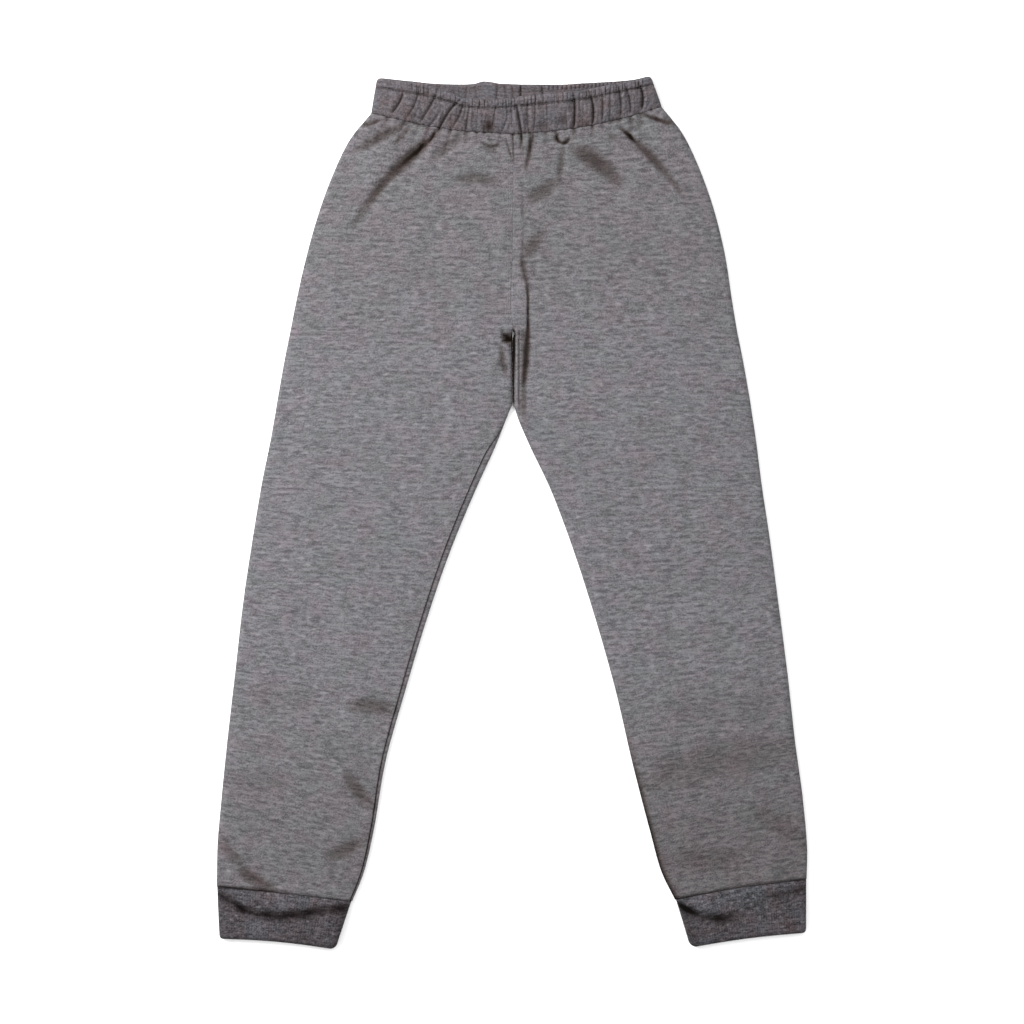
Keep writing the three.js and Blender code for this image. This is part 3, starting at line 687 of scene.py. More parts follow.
def wall_object(name: str, outer: np.ndarray, inner: np.ndarray, uv: np.ndarray, dark: np.ndarray,
                inner_dark: np.ndarray, ring: bool, turned: bool) -> bpy.types.Object:
    """Makes one closed wall of cloth from an outer and an inner grid of points.

    Args:
        name: Name of the object.
        outer: Outer points, by row and column, in millimetres.
        inner: Inner points, likewise.
        uv: Places on the flat cloth in metres, with one more column in a ring.
        dark: How much shade is painted on each outer point, from 0 to 1.
        inner_dark: The same for the inner points.
        ring: Whether the last column joins the first.
        turned: Whether the faces have to be turned to point outwards.

    Returns:
        The new object, linked to the scene.
    """
    rows, columns = outer.shape[:2]
    spans = columns if ring else columns - 1
    row, span = np.meshgrid(np.arange(rows), np.arange(spans), indexing="ij")
    after = span + 1
    here = row * columns + span
    beside = row * columns + after % columns
    shift = rows * columns
    flat_uv = uv.reshape(-1, 2)
    uv_here = row * uv.shape[1] + span
    uv_beside = row * uv.shape[1] + after

    faces = []
    corners = []

    def quads(a: np.ndarray, b: np.ndarray, c: np.ndarray, d: np.ndarray, uvs: list[np.ndarray]) -> None:
        """Adds a grid of faces with the cloth places of their corners.

        Args:
            a: The faces' first corners.
            b: Their second corners.
            c: Their third corners.
            d: Their fourth corners.
            uvs: The cloth places of the four, in the same order.
        """
        order = [0, 3, 2, 1] if turned else [0, 1, 2, 3]
        points = [a, b, c, d]
        faces.append(np.stack([points[i].ravel() for i in order], axis=1))
        corners.append(np.stack([uvs[i].ravel() for i in order], axis=1))

    low, high = slice(0, rows - 1), slice(1, rows)
    quads(here[low], here[high], beside[high], beside[low],
          [uv_here[low], uv_here[high], uv_beside[high], uv_beside[low]])
    quads(beside[low] + shift, beside[high] + shift, here[high] + shift, here[low] + shift,
          [uv_beside[low], uv_beside[high], uv_here[high], uv_here[low]])
    quads(beside[0], beside[0] + shift, here[0] + shift, here[0],
          [uv_beside[0], uv_beside[0], uv_here[0], uv_here[0]])
    quads(here[-1], here[-1] + shift, beside[-1] + shift, beside[-1],
          [uv_here[-1], uv_here[-1], uv_beside[-1], uv_beside[-1]])
    if not ring:
        first, last = np.arange(rows) * columns, np.arange(rows) * columns + columns - 1
        uv_first, uv_last = np.arange(rows) * uv.shape[1], np.arange(rows) * uv.shape[1] + spans
        quads(first[low], first[low] + shift, first[high] + shift, first[high],
              [uv_first[low], uv_first[low], uv_first[high], uv_first[high]])
        quads(last[high], last[high] + shift, last[low] + shift, last[low],
              [uv_last[high], uv_last[high], uv_last[low], uv_last[low]])

    points = np.concatenate([outer.reshape(-1, 3), inner.reshape(-1, 3)])
    points = (points - np.array([*OUTLINE_MIDDLE, 0.0])) * MM
    all_faces = np.concatenate(faces)
    mesh = bpy.data.meshes.new(name)
    mesh.from_pydata(points.tolist(), [], all_faces.tolist())
    walls = len(faces[0]) + len(faces[1])
    mesh.polygons.foreach_set("use_smooth", np.arange(len(all_faces)) < walls)
    layer = mesh.uv_layers.new(name="cloth")
    layer.data.foreach_set("uv", flat_uv[np.concatenate(corners).ravel()].ravel())
    # Painted shade: one value per point, which darkens the cloth's colour in the material.
    shade = mesh.attributes.new("painted_shade", "FLOAT", "POINT")
    shade.data.foreach_set("value", np.concatenate([dark.ravel(), inner_dark.ravel()]))
    mesh.update()
    piece = bpy.data.objects.new(name, mesh)
    bpy.context.collection.objects.link(piece)
    return piece


def ring_places(outer: np.ndarray, along: np.ndarray) -> np.ndarray:
    """Lays a ring of cloth out flat, with one more column to close it.

    Args:
        outer: The ring's outer points, by row and column, in millimetres.
        along: How far along the cloth each row lies, as a column.

    Returns:
        The place of each point on the cloth, in metres.
    """
    runs = np.linalg.norm(np.diff(outer[:, :, :2], axis=1, append=outer[:, :1, :2]), axis=2)
    across = np.concatenate([np.zeros((len(outer), 1)), np.cumsum(runs, axis=1)], axis=1)
    return np.stack([across, np.broadcast_to(along, across.shape)], axis=2) * MM


def reach(turn: float, wall: float, angle: np.ndarray) -> np.ndarray:
    """Returns how far in from a rounded fold's edge a side of the wall lies."""
    return turn - (turn - wall) * np.cos(angle)


@dataclass
class Leg:
    """One leg, cut in one piece and folded at the side."""

    side: Side
    rows: np.ndarray
    relief: Relief
    front_columns: int = 96
    back_columns: int = 12
    side_columns: int = 8
    inseam_columns: int = 11
    cut_shift: float = 900.0
    steps: tuple[tuple[int, float], ...] = ((1, 1.2), (4, 2.0), (10, 1.25), (99, 2.9))

    def places(self) -> np.ndarray:
        """Returns the places between the table's rows that the cloth is built at."""
        found = []
        for index in range(len(self.rows) - 1):
            length = abs(self.rows[index + 1, OUTER_Y] - self.rows[index, OUTER_Y])
            step = next(size for last, size in self.steps if index <= last)
            count = max(2, round(length / step))
            found.append(index + np.arange(count) / count)
        found.append(np.array([len(self.rows) - 1.0]))
        return np.concatenate(found)

    def inseam_angle(self, places: np.ndarray) -> np.ndarray:
        """Finds where the inseam lies round the inner fold.

        Args:
            places: Places between the table's rows.

        Returns:
            Its angle at each place, a quarter turn on top.
        """
        below = APEX_Y - between(self.rows, INNER_Y, places)
        if self.side is Side.LEFT:
            return mix(1.30, -1.1, smooth(below / 110.0))
        seen = mix(6.6, 2.0, np.clip(below / (APEX_Y - HEM_Y), 0.0, 1.0))
        return mix(-0.2, np.arccos(1.0 - seen / INSEAM_TURN), smooth((below - 4.0) / 42.0))

    def line(self, places: np.ndarray, distance: np.ndarray, face: Face) -> tuple[np.ndarray, np.ndarray]:
        """Gives points across the leg, seen from above.

        Args:
            places: Places between the table's rows, as a column.
            distance: Distances from the outer edge.
            face: Whether the points are on the front or on the back.

        Returns:
            Their x and y.
        """
        ox, oy, bow = (between(self.rows, column, places) for column in (OUTER_X, OUTER_Y, BOW))
        ix = between(self.rows, INNER_X, places) + self.side.value * LEG_GAP / 2
        iy = between(self.rows, INNER_Y, places)
        part = distance / np.hypot(ix - ox, iy - oy)
        shift = bow * np.sin(np.pi * part)
        if face is Face.BACK:
            shift = mix(BACK_RISE * np.sin(np.pi / 2 * part), shift, smooth(places / RISE_ROWS))
        return mix(ox, ix, part), mix(oy, iy, part) + shift

    def width(self, places: np.ndarray) -> np.ndarray:
        """Measures the leg across.

        Args:
            places: Places between the table's rows.

        Returns:
            Its width at each place.
        """
        ox, oy, iy = (between(self.rows, column, places) for column in (OUTER_X, OUTER_Y, INNER_Y))
        ix = between(self.rows, INNER_X, places) + self.side.value * LEG_GAP / 2
        return np.hypot(ix - ox, iy - oy)

    def top(self, places: np.ndarray, distance: np.ndarray) -> tuple[np.ndarray, np.ndarray]:
        """Reads the relief of the front.

        Args:
            places: Places between the table's rows, as a column.
            distance: Distances from the outer edge.

        Returns:
            The height of the cloth and the shade painted on it.
        """
        width = self.width(places)
        closed = smooth((places - CROTCH_ROW) / CLOSING)
        x, y = self.line(places, distance, Face.FRONT)
        inside = np.minimum(distance, mix(RISE, width - distance, closed))
        waist_y = self.line(np.zeros_like(places), distance, Face.FRONT)[1]
        hem = np.full_like(places, len(self.rows) - 1.0)
        hem_y = self.line(hem, distance, Face.FRONT)[1]
        near_waist = np.where(places < 2.0, waist_y - y, FAR)
        near_hem = np.where(places > len(self.rows) - 3.0, y - hem_y, FAR)
        return self.relief.top(x, y, inside, near_waist, near_hem)

    def grids(self) -> tuple[np.ndarray, np.ndarray, np.ndarray]:
        """Works out the wall.

        Returns:
            Its outer points, its inner points and how dark each outer point is.
        """
        places = self.places()[:, None]
        width = self.width(places)
        closed = smooth((places - CROTCH_ROW) / CLOSING)
        slit = self.inseam_angle(places)
        outer, inner, dark = [], [], []

        def add(points: tuple, over: np.ndarray, under: tuple, under_z: np.ndarray,
                shade: np.ndarray) -> None:
            """Adds a stretch of columns.

            Args:
                points: The x and y of its outer points.
                over: Their heights.
                under: The x and y of its inner points.
                under_z: Their heights.
                shade: The shade painted on the outer points.
            """
            shape = np.broadcast_shapes(points[0].shape, over.shape, under[0].shape, under_z.shape)
            whole = [np.broadcast_to(part, shape) for part in (*points, over, *under, under_z, shade)]
            outer.append(np.stack(whole[0:3], axis=2))
            inner.append(np.stack(whole[3:6], axis=2))
            dark.append(whole[6])

        half_in = self.relief.plain(np.full_like(width, INSEAM_TURN)) / 2

        def add_inseam(face: Face, parts: np.ndarray, angles: np.ndarray) -> None:
            """Adds the columns between the flat cloth and the inseam.

            Args:
                face: Whether they are on the front or on the back.
                parts: Parts of the way from the flat cloth to the inseam.
                angles: The columns' angles round the inner fold.
            """
            flat = width - INSEAM_TURN * (1 - parts)
            over = self.top(places, flat)[0] if face is Face.FRONT else np.zeros_like(flat)
            under = over + (-FLEECE if face is Face.FRONT else FLEECE)
            sides = []
            for wall, flat_z in ((0.0, over), (FLEECE, under)):
                bent = width - reach(INSEAM_TURN, wall, angles)
                bent_z = half_in + (half_in - wall) * np.sin(angles)
                sides.append((self.line(places, mix(flat, bent, closed), face), mix(flat_z, bent_z, closed)))
            from_seam = (1 - parts) * INSEAM_TURN
            groove = closed * bell(from_seam / 0.9) * (0.7 if self.side is Side.RIGHT else 0.1)
            upper = mix(1.0 if face is Face.FRONT else 0.0, smooth(np.sin(angles) * 1.3), closed)
            real = mix(flat, width - reach(INSEAM_TURN, 0.0, angles), closed)
            tops, shade = self.top(places, real)
            relief = (tops - self.relief.plain(np.minimum(real, width - real))) * upper * closed
            # Painted shade along the right leg's inseam.
            line = 0.8 if self.side is Side.RIGHT else 0.0
            seen = mix(upper, smooth(0.5 + 3.0 * np.sin(angles)), smooth(closed * 3.0))
            shade = np.clip(shade * seen + line * closed * bell(from_seam / 0.5), 0, 1)
            over = sides[0][1] - groove * np.maximum(0.0, np.sin(angles)) + relief
            add(sides[0][0], np.maximum(over, 0.0), sides[1][0], np.maximum(sides[1][1] + relief, 0.0), shade)

        parts = 1 - np.linspace(0.0, 1.0, self.inseam_columns, endpoint=False)[None, :] ** 1.7
        gap = 0.012 if self.side is Side.RIGHT else 0.004
        add_inseam(Face.FRONT, parts, mix(np.pi / 2, slit + gap, parts))

        spread = np.linspace(0, 1, self.front_columns)[None, :] ** 1.4
        distance = mix(width - INSEAM_TURN, SIDE_TURN, spread)
        over, shade = self.top(places, distance)
        points = self.line(places, distance, Face.FRONT)
        add(points, over, points, over - FLEECE, shade)

        angle = (np.pi * (0.5 - np.arange(1, self.side_columns) / self.side_columns))[None, :]
        half, side_shade = self.top(places, np.full_like(places, SIDE_TURN))
        half = half / 2
        on_front = (1 + np.sin(angle)) / 2
        sides = []
        for wall in (0.0, FLEECE):
            distance = reach(SIDE_TURN, wall, angle)
            x, front_y = self.line(places, distance, Face.FRONT)
            back_y = self.line(places, distance, Face.BACK)[1]
            sides.append(((x, mix(back_y, front_y, on_front)), half + (half - wall) * np.sin(angle)))
        add(sides[0][0], sides[0][1], sides[1][0], sides[1][1], side_shade * on_front)

        distance = mix(SIDE_TURN, width - INSEAM_TURN, np.linspace(0, 1, self.back_columns)[None, :])
        points = self.line(places, distance, Face.BACK)
        flat = np.zeros_like(distance)
        add(points, flat, points, flat + FLEECE, flat)

        parts = 1 - np.linspace(1.0, 0.0, self.inseam_columns + 1)[None, 1:] ** 1.7
        add_inseam(Face.BACK, parts, mix(-np.pi / 2, slit - gap, parts))
        return np.concatenate(outer, axis=1), np.concatenate(inner, axis=1), np.concatenate(dark, axis=1)

    def cloth_places(self, outer: np.ndarray) -> np.ndarray:
        """Lays the leg's cloth out flat.

        Args:
            outer: The wall's outer points.

        Returns:
            The place of each point on the cloth, in metres, with the grain along v.
        """
        runs = np.linalg.norm(np.diff(outer, axis=1), axis=2)
        across = np.concatenate([np.zeros((len(outer), 1)), np.cumsum(runs, axis=1)], axis=1)
        middle = self.inseam_columns + self.front_columns // 2
        across = across - across[:, middle:middle + 1]
        spine = outer[:, middle, :2]
        steps = np.linalg.norm(np.diff(spine, axis=0), axis=1)
        along = np.concatenate([[0.0], np.cumsum(steps)])
        along = along + (0.0 if self.side is Side.RIGHT else self.cut_shift)
        return np.stack([across, np.broadcast_to(along[:, None], across.shape)], axis=2) * MM

    def flat_size(self) -> tuple[float, float, float]:
        """Returns the width, length and area of the cut, in metres and square metres."""
        places = np.linspace(0, len(self.rows) - 1, 200)
        width = self.width(places) * 2
        spine = np.stack(self.line(places, width / 4, Face.FRONT), axis=1)
        steps = np.linalg.norm(np.diff(spine, axis=0), axis=1)
        area = float(np.sum((width[1:] + width[:-1]) / 2 * steps))
        return float(width.max()) * MM, float(steps.sum()) * MM, area * MM * MM

    def build(self) -> bpy.types.Object:
        """Builds the leg's cloth and returns its object."""
        outer, inner, dark = self.grids()
        name = "leg_right_cloth" if self.side is Side.RIGHT else "leg_left_cloth"
        uv = self.cloth_places(outer)
        return wall_object(name, outer, inner, uv, dark, dark, False, self.side is Side.RIGHT)


def waist_seam(legs: dict[Side, Leg], x: np.ndarray, face: Face) -> np.ndarray:
    """Follows the waist seam, just above the legs' cloth.

    Args:
        legs: The legs.
        x: Places across.
        face: Whether the seam is wanted on the front or on the back.

    Returns:
        The seam's y at each place.
    """
    total = np.zeros_like(x)
    for side, leg in legs.items():
        ox, ix = leg.rows[0, OUTER_X], leg.rows[0, INNER_X]
        part = np.clip((x - ox) / (ix - ox), 0.0, 1.0)
        zero = np.zeros_like(x)
        y = leg.line(zero, part * leg.width(zero), face)[1]
        own = x < RIGHT_ROWS[0, INNER_X] if side is Side.RIGHT else x >= RIGHT_ROWS[0, INNER_X]
        total += np.where(own, y, 0.0)
    return total + SEAM


@dataclass
class Waistband:
    """The gathered casing round the waist, with its elastic and a header on top."""

    legs: dict[Side, Leg]
    front_columns: int = 560
    back_columns: int = 300
    side_columns: int = 9
    rows: int = 40
    coarse_rows: int = 14
    fine_from: float = 0.62
    seen_height: float = 28.0
    cut_height: float = 30.0
    height: float = 9.3
    inside: float = 4.0
    stitch_part: float = 0.74
    header_wave: float = 1.3
    radius: float = 3.2
    outer: np.ndarray = field(init=False)
    inner: np.ndarray = field(init=False)
    parts: np.ndarray = field(init=False)

    def front_relief(self, x: np.ndarray, part: np.ndarray) -> tuple[np.ndarray, np.ndarray]:
        """Works out the gathers of the front.

        Args:
            x: Places across, by column and row of the profile.
            part: Parts of the waistband's height, from the seam to the top.

        Returns:
            The height that the gathers add, and the shade painted on the front.
        """
        upright = x + 0.0 * part
        along = self.seen_height * part + 0.0 * x
        on_header = smooth((part - 0.77) / 0.05)
        ends = smooth((x - BAND_FOOT[0] - 14.0) / 16.0) * smooth((BAND_FOOT[1] - 9.0 - x) / 9.0)
        height = 0.42 * ripples(upright, 0.2 * along, BAND_FOLDS) * ends
        fine = ripples(upright, 0.35 * along, BAND_FINE) * ends
        height = height + 0.28 * fine
        broad = ripples(upright, along, BAND_SHADING)
        # Painted shade: an even amount over the front, more in the fine folds and in broad patches, less on
        # the header; the dents, gathers and ticks below add more.
        dark = (0.10 + 0.26 * np.maximum(0.0, -fine) + 0.10 * broad) * (1.0 - 0.6 * on_header)
        for dent_x, dent_part, half_width, half_height, shade in BAND_DENTS:
            up = self.seen_height * (part - dent_part)
            dent = bell((upright - dent_x) / half_width) * bell(up / half_height)
            height = height - 1.2 * shade * dent
            dark = np.maximum(dark, shade * dent)
        for foot_x, bend_x, top_x, depth, low, high in GATHERS:
            off = x - gather_path(foot_x, bend_x, top_x, part)
            show = smooth((part - low) / 0.14) * (1.0 - smooth((part - high + 0.06) / 0.12)) * depth
            show = show * (1.0 - 0.45 * on_header)
            pinch = bell(off / mix(0.55, 0.85, depth)) * show
            soft = bell((off + 0.8) / 2.2) * show
            lip = bell((off - 2.4) / 1.3) * show
            height = height - 1.9 * pinch - 1.0 * soft + 0.6 * lip
            dark = np.maximum(dark, np.maximum(0.78 * pinch, 0.4 * soft))
        wave = upright / 3.5 + 0.45 * np.sin(upright / 7.3) + 0.3 * np.sin(upright / 2.9 + 1.0)
        uneven = 0.55 + 0.45 * ripples(upright, 0.0 * along, HEADER_TICKS)
        ticks = np.maximum(0.0, np.sin(2 * np.pi * wave)) ** 4 * np.clip(uneven, 0.1, 1.0)
        reach = bell((part - self.stitch_part) / 0.09) + 0.5 * bell(part / 0.10)
        ticks = ticks * ends * (on_header * (1.0 - 0.6 * smooth((part - 0.93) / 0.07)) + 0.6 * reach)
        height = height - self.header_wave * ticks
        dark = np.maximum(dark, 0.62 * ticks)
        return height, np.clip(dark, 0.0, 1.0)

    def front_profile(self, part: np.ndarray, x: np.ndarray) -> tuple[np.ndarray, np.ndarray]:
        """Shapes the front from the seam to the rolled header.

        Args:
            part: Parts of the waistband's height.
            x: Places across.

        Returns:
            How far the front lies under its full height, and the shade painted in its seams.
        """
        uneven = np.clip(0.6 + 0.5 * ripples(x, 0.0 * x, STITCHED_LINE), 0.15, 1.0)
        dashes = seam_dashes(x)
        inside = np.minimum(x - BAND_FOOT[0], BAND_FOOT[1] - x)
        low = (1.1 + 1.0 * dashes) * bell(part / 0.055) + 0.5 * bell((part - 0.12) / 0.12)
        low = low + (FULL_HEIGHT - EDGE_HEIGHT) * (1.0 - smooth(inside / RISE)) * bell(part / 0.25)
        stitched = 1.8 * bell((part - self.stitch_part) / 0.03) + 0.6 * bell((part - self.stitch_part) / 0.1)
        header = np.clip((part - 0.87) / 0.13, 0.0, 1.0)
        rolled = 3.3 * (1 - np.sqrt(np.clip(1 - header ** 2, 0.0, 1.0)))
        # Painted shade in the stitched line under the header and along the waist seam.
        dark = 0.7 * bell((part - self.stitch_part) / 0.028) * uneven + 0.5 * bell(part / 0.035) * dashes ** 2
        return low + stitched + rolled + 0.5 * smooth((part - 0.7) / 0.1), dark

    def build(self) -> bpy.types.Object:
        """Builds the waistband and returns its object."""
        coarse = np.linspace(0, self.fine_from, self.coarse_rows, endpoint=False)
        fine = np.linspace(self.fine_from, 1.0, self.rows - self.coarse_rows)
        part = np.concatenate([coarse, fine])[None, :]
        sweep = np.linspace(0, 1, self.front_columns)[:, None]
        columns = [(BAND_FOOT[0] + BAND_TURN, BAND_TOP[0] + BAND_TURN, BAND_FOOT[1] - BAND_TURN,
                    BAND_TOP[1] - BAND_TURN, sweep, np.full_like(sweep, np.pi / 2), 0)]
        turn = (np.arange(1, self.side_columns) / self.side_columns)[:, None]
        columns.append((BAND_FOOT[1], BAND_TOP[1], BAND_FOOT[1], BAND_TOP[1], turn, np.pi * (0.5 - turn), 1))
        sweep = np.linspace(0, 1, self.back_columns)[:, None]
        columns.append((BAND_FOOT[1] - BAND_TURN, BAND_TOP[1] - BAND_TURN, BAND_FOOT[0] + BAND_TURN,
                        BAND_TOP[0] + BAND_TURN, sweep, np.full_like(sweep, -np.pi / 2), 0))
        columns.append((BAND_FOOT[0], BAND_TOP[0], BAND_FOOT[0], BAND_TOP[0], turn, np.pi * (turn - 0.5), -1))
        outer, inner, dark, inner_dark = [], [], [], []
        for foot_from, top_from, foot_to, top_to, sweep, angle, sign in columns:
            foot_x, top_x = mix(foot_from, foot_to, sweep), mix(top_from, top_to, sweep)
            on_front = (1 + np.sin(angle)) / 2
            walls = []
            for wall in (0.0, BAND):
                inwards = sign * reach(BAND_TURN, wall, angle)
                own_foot, own_top = foot_x - inwards, top_x - inwards
                foot = mix(waist_seam(self.legs, own_foot, Face.BACK),
                           waist_seam(self.legs, own_foot, Face.FRONT), on_front)
                places = place_at(BAND_EDGES, own_top)
                top = mix(between(BAND_EDGES, 2, places), between(BAND_EDGES, 1, places), on_front)
                edge = np.minimum(own_top - BAND_TOP[0], BAND_TOP[1] - own_top)
                walls.append((mix(own_foot, own_top, part), mix(foot, top - corner(edge, self.radius), part)))
            x, y = walls[0]
            drop, seam_dark = self.front_profile(part, x)
            gathers, gather_dark = self.front_relief(x, part)
            flat_front = np.where(angle >= np.pi / 2 - 1e-6, 1.0, 0.0)
            rolled = smooth((part - 0.93) / 0.07)
            full = np.maximum(self.height - drop + gathers * flat_front, self.inside + 0.7)
            over = mix(0.9 * rolled, full, on_front)
            # shade is the painted shade of the front and under_dark that of the back's inside.
            shade = np.clip((seam_dark + gather_dark) * on_front * np.ones_like(x), 0, 1)
            under_back, under_dark = self.back_inside(x, part)
            under = mix(under_back - 0.9 * rolled, self.inside + 0.5 * rolled, on_front)
            outer.append(np.stack([x, y, over * np.ones_like(x)], axis=2))
            inner.append(np.stack([walls[1][0], walls[1][1], under * np.ones_like(x)], axis=2))
            dark.append(shade)
            inner_dark.append(under_dark * (1.0 - on_front))
        outer_grid = np.concatenate(outer).transpose(1, 0, 2)
        inner_grid = np.concatenate(inner).transpose(1, 0, 2)
        self.outer, self.inner, self.parts = outer_grid, inner_grid, part[0]
        uv = ring_places(outer_grid, part[0][:, None] * self.cut_height)
        shades = (np.concatenate(dark).T, np.concatenate(inner_dark).T)
        return wall_object("waistband_cloth", outer_grid, inner_grid, uv, *shades, True, True)

    def header_paths(self) -> list[np.ndarray]:
        """Returns the rows of stitches under the header, on the front and on the back's inside."""
        row = int(np.argmin(np.abs(self.parts - self.stitch_part)))
        lift = np.array([0.0, 0.0, 0.25])
        first = self.front_columns + self.side_columns - 1
        front = self.outer[row, 4:self.front_columns - 4:3] + lift
        back = self.inner[row, first + 6:first + self.back_columns - 6:3] + lift
        return [front, back]

    def back_inside(self, x: np.ndarray, part: np.ndarray) -> tuple[np.ndarray, np.ndarray]:
        """Shapes the back's inside, with its header and the fine gathers along its edge.

        Args:
            x: Places across, by column and row of the profile.
            part: Parts of the waistband's height.

        Returns:
            Its height above the table and the shade painted on the cloth.
        """
        place = x / 3.5 + 0.3 * np.sin(x / 13.0)
        ticks = np.maximum(0.0, np.sin(2 * np.pi * place)) ** 2
        on_header = smooth((part - 0.77) / 0.04)
        crisp = smooth((x - 26.0) / 5.0) * (1.0 - smooth((x - 108.0) / 6.0))
        shown = on_header * (0.15 + 0.85 * crisp)
        below = np.maximum(0.0, ripples(x, 0.05 * part, BACK_FOLDS) - 0.7) * smooth((part - 0.3) / 0.1)
        header = 0.9 * bell((part - 0.9) / 0.08)
        groove = bell((part - self.stitch_part) / 0.03)
        gathers = np.zeros_like(below)
        for gather_x, depth in BACK_GATHERS:
            off = x - gather_x - 1.2 * np.sin(3.0 * part + gather_x)
            gathers = np.maximum(gathers, depth * (bell(off / 0.8) + 0.35 * bell(off / 2.4)))
        gathers = gathers * smooth((part - 0.3) / 0.1) * (1.0 - 0.5 * smooth((part - 0.9) / 0.08))
        # Painted shade: a little over the whole inside, more in the header's ticks, the stitched groove, the
        # folds and the gathers.
        dark = 0.08 + 0.75 * ticks * shown + 0.08 * groove + 0.8 * below * (1.0 - on_header) + 0.62 * gathers
        height = BAND + header - 0.25 * groove - 0.9 * ticks * shown - 0.8 * below - 1.1 * gathers
        return np.maximum(height, 1.6), np.clip(dark, 0.0, 1.0)


@dataclass
class Cuff:
    """A rib cuff, folded double, at the hem of a leg.

    The trough's rows give a part of the width from the outer side, a part of the length
    from the seam, and how deep the trough is there.
    """

    leg: Leg
    inset: tuple[float, float]
    outer_foot: tuple[float, float]
    inner_foot: tuple[float, float]
    bow: float
    radii: tuple[float, float]
    trough: np.ndarray
    front_columns: int = 300
    back_columns: int = 60
    side_columns: int = 9
    rows: int = 44
    length: float = 44.0
    nominal_width: float = 110.0
    height: float = 8.6
    inside: float = 4.0
    rib_pitch: float = 2.3
    rib_height: float = 0.14

    def profile(self, part: np.ndarray, across: np.ndarray) -> tuple[np.ndarray, np.ndarray]:
        """Shapes the cuff along its length.

        Args:
            part: Parts of its length, from the seam to the lower edge.
            across: Parts of its width, from the outer to the inner side.

        Returns:
            How far it lies under its full height, and the shade painted on the cloth.
        """
        centre = np.interp(across, self.trough[:, 0], self.trough[:, 1])
        depth = np.interp(across, self.trough[:, 0], self.trough[:, 2])
        place = across * self.nominal_width
        depth = depth * (0.82 + 0.16 * ripples(place, 0.3 * part * self.length, TROUGH_WAVES))
        off = part - centre
        shape = np.where(off < 0, bell(off / 0.07), bell(off / 0.13))
        outer_part = smooth(1.5 - 2.0 * across)
        drop = (0.1 + 1.4 * outer_part) * bell(part / 0.035) + 3.2 * depth * shape
        lower = np.clip((part - 0.88) / 0.12, 0, 1)
        uneven = ripples(place, part * self.length, CUFF_WAVES[self.leg.side])
        drop = drop + 3.4 * (1 - np.sqrt(1 - lower ** 2)) + 0.4 * uneven
        # Painted shade: along the seam, mostly on the outer half, in the trough and over the cuff below it,
        # at the lower edge, round the trough on the outer side and along the inner edge; a patch towards the
        # outer side's lower part gets less.
        dark = 0.7 * bell(part / 0.02) * (0.1 + 0.9 * outer_part)
        dark = dark + 0.85 * depth * shape + 0.34 * smooth((off + 0.03) / 0.1) + 0.3 * bell((1 - part) / 0.04)
        dark = dark + 0.2 * (1.0 - smooth(across / 0.6)) * (1.0 - smooth(off / 0.1))
        dark = dark + 0.28 * smooth((across - 0.88) / 0.12)
        dark = dark - 0.14 * bell((across - 0.3) / 0.25) * bell((part - 0.75) / 0.18)
        return drop, dark

    def build(self) -> bpy.types.Object:
        """Builds the cuff and returns its object."""
        last = np.array([[len(self.leg.rows) - 1.0]])
        full = float(self.leg.width(last)[0, 0])
        width = full - self.inset[0] - self.inset[1]
        part = np.linspace(0, 1, self.rows)[:, None]
        turn = np.arange(1, self.side_columns) / self.side_columns
        stretches = [
            (np.linspace(width - CUFF_TURN, CUFF_TURN, self.front_columns), np.pi / 2, 0),
            (turn, np.pi * (0.5 - turn), 1),
            (np.linspace(CUFF_TURN, width - CUFF_TURN, self.back_columns), -np.pi / 2, 0),
            (turn, np.pi * (turn - 0.5), -1),
        ]
        grids: tuple[list, list, list] = ([], [], [])
        for spread, angle, sign in stretches:
            angles = np.broadcast_to(np.asarray(angle), spread.shape)[None, :]
            on_front = (1 + np.sin(angles)) / 2
            for wall, grid in ((0.0, grids[0]), (RIB, grids[1])):
                if sign == 0:
                    distance = spread[None, :]
                else:
                    inwards = reach(CUFF_TURN, wall, angles)
                    distance = inwards if sign > 0 else width - inwards
                across = distance / width
                seam_x, seam_y = self.leg.line(last, self.inset[0] + distance, Face.FRONT)
                rounded = corner(distance, self.radii[0]) + corner(width - distance, self.radii[1])
                foot_x = mix(self.outer_foot[0], self.inner_foot[0], across)
                foot_y = mix(self.outer_foot[1], self.inner_foot[1], across)
                foot_y = foot_y + self.bow * np.sin(np.pi * across) + rounded
                x, y = mix(seam_x, foot_x, part), mix(seam_y - SEAM, foot_y, part)
                drop, dark = self.profile(part, across)
                rolled = 0.9 * smooth((part - 0.9) / 0.1)
                if wall == 0.0:
                    ribs = self.rib_height * np.sin(2 * np.pi * distance / self.rib_pitch)
                    top = np.maximum(self.height - drop + ribs, self.inside + rolled + 0.6)
                    z = mix(rolled, top, on_front)
                    grids[2].append(np.clip(dark * on_front, 0, 1) * np.ones_like(x))
                else:
                    z = mix(RIB - rolled, self.inside + rolled, on_front)
                grid.append(np.stack([x, y, z * np.ones_like(x)], axis=2))
        outer, inner, dark = (np.concatenate(grid, axis=1) for grid in grids)
        right = self.leg.side is Side.RIGHT
        uv = ring_places(outer, part * self.length + (0.0 if right else self.leg.cut_shift))
        name = "cuff_right_cloth" if right else "cuff_left_cloth"
        return wall_object(name, outer, inner, uv, dark, np.zeros_like(dark), True, right)


def add_node(tree: bpy.types.NodeTree, kind: str, **values: object) -> bpy.types.Node:
    """Adds a node to a tree.

    Args:
        tree: The node tree.
        kind: The node's type.
        **values: Properties of the node, or the values of its inputs by number.

    Returns:
        The new node.
    """
    node = tree.nodes.new(kind)
    for key, value in values.items():
        if key.startswith("in_"):
            node.inputs[int(key[3:])].default_value = value
        else:
            setattr(node, key, value)
    return node


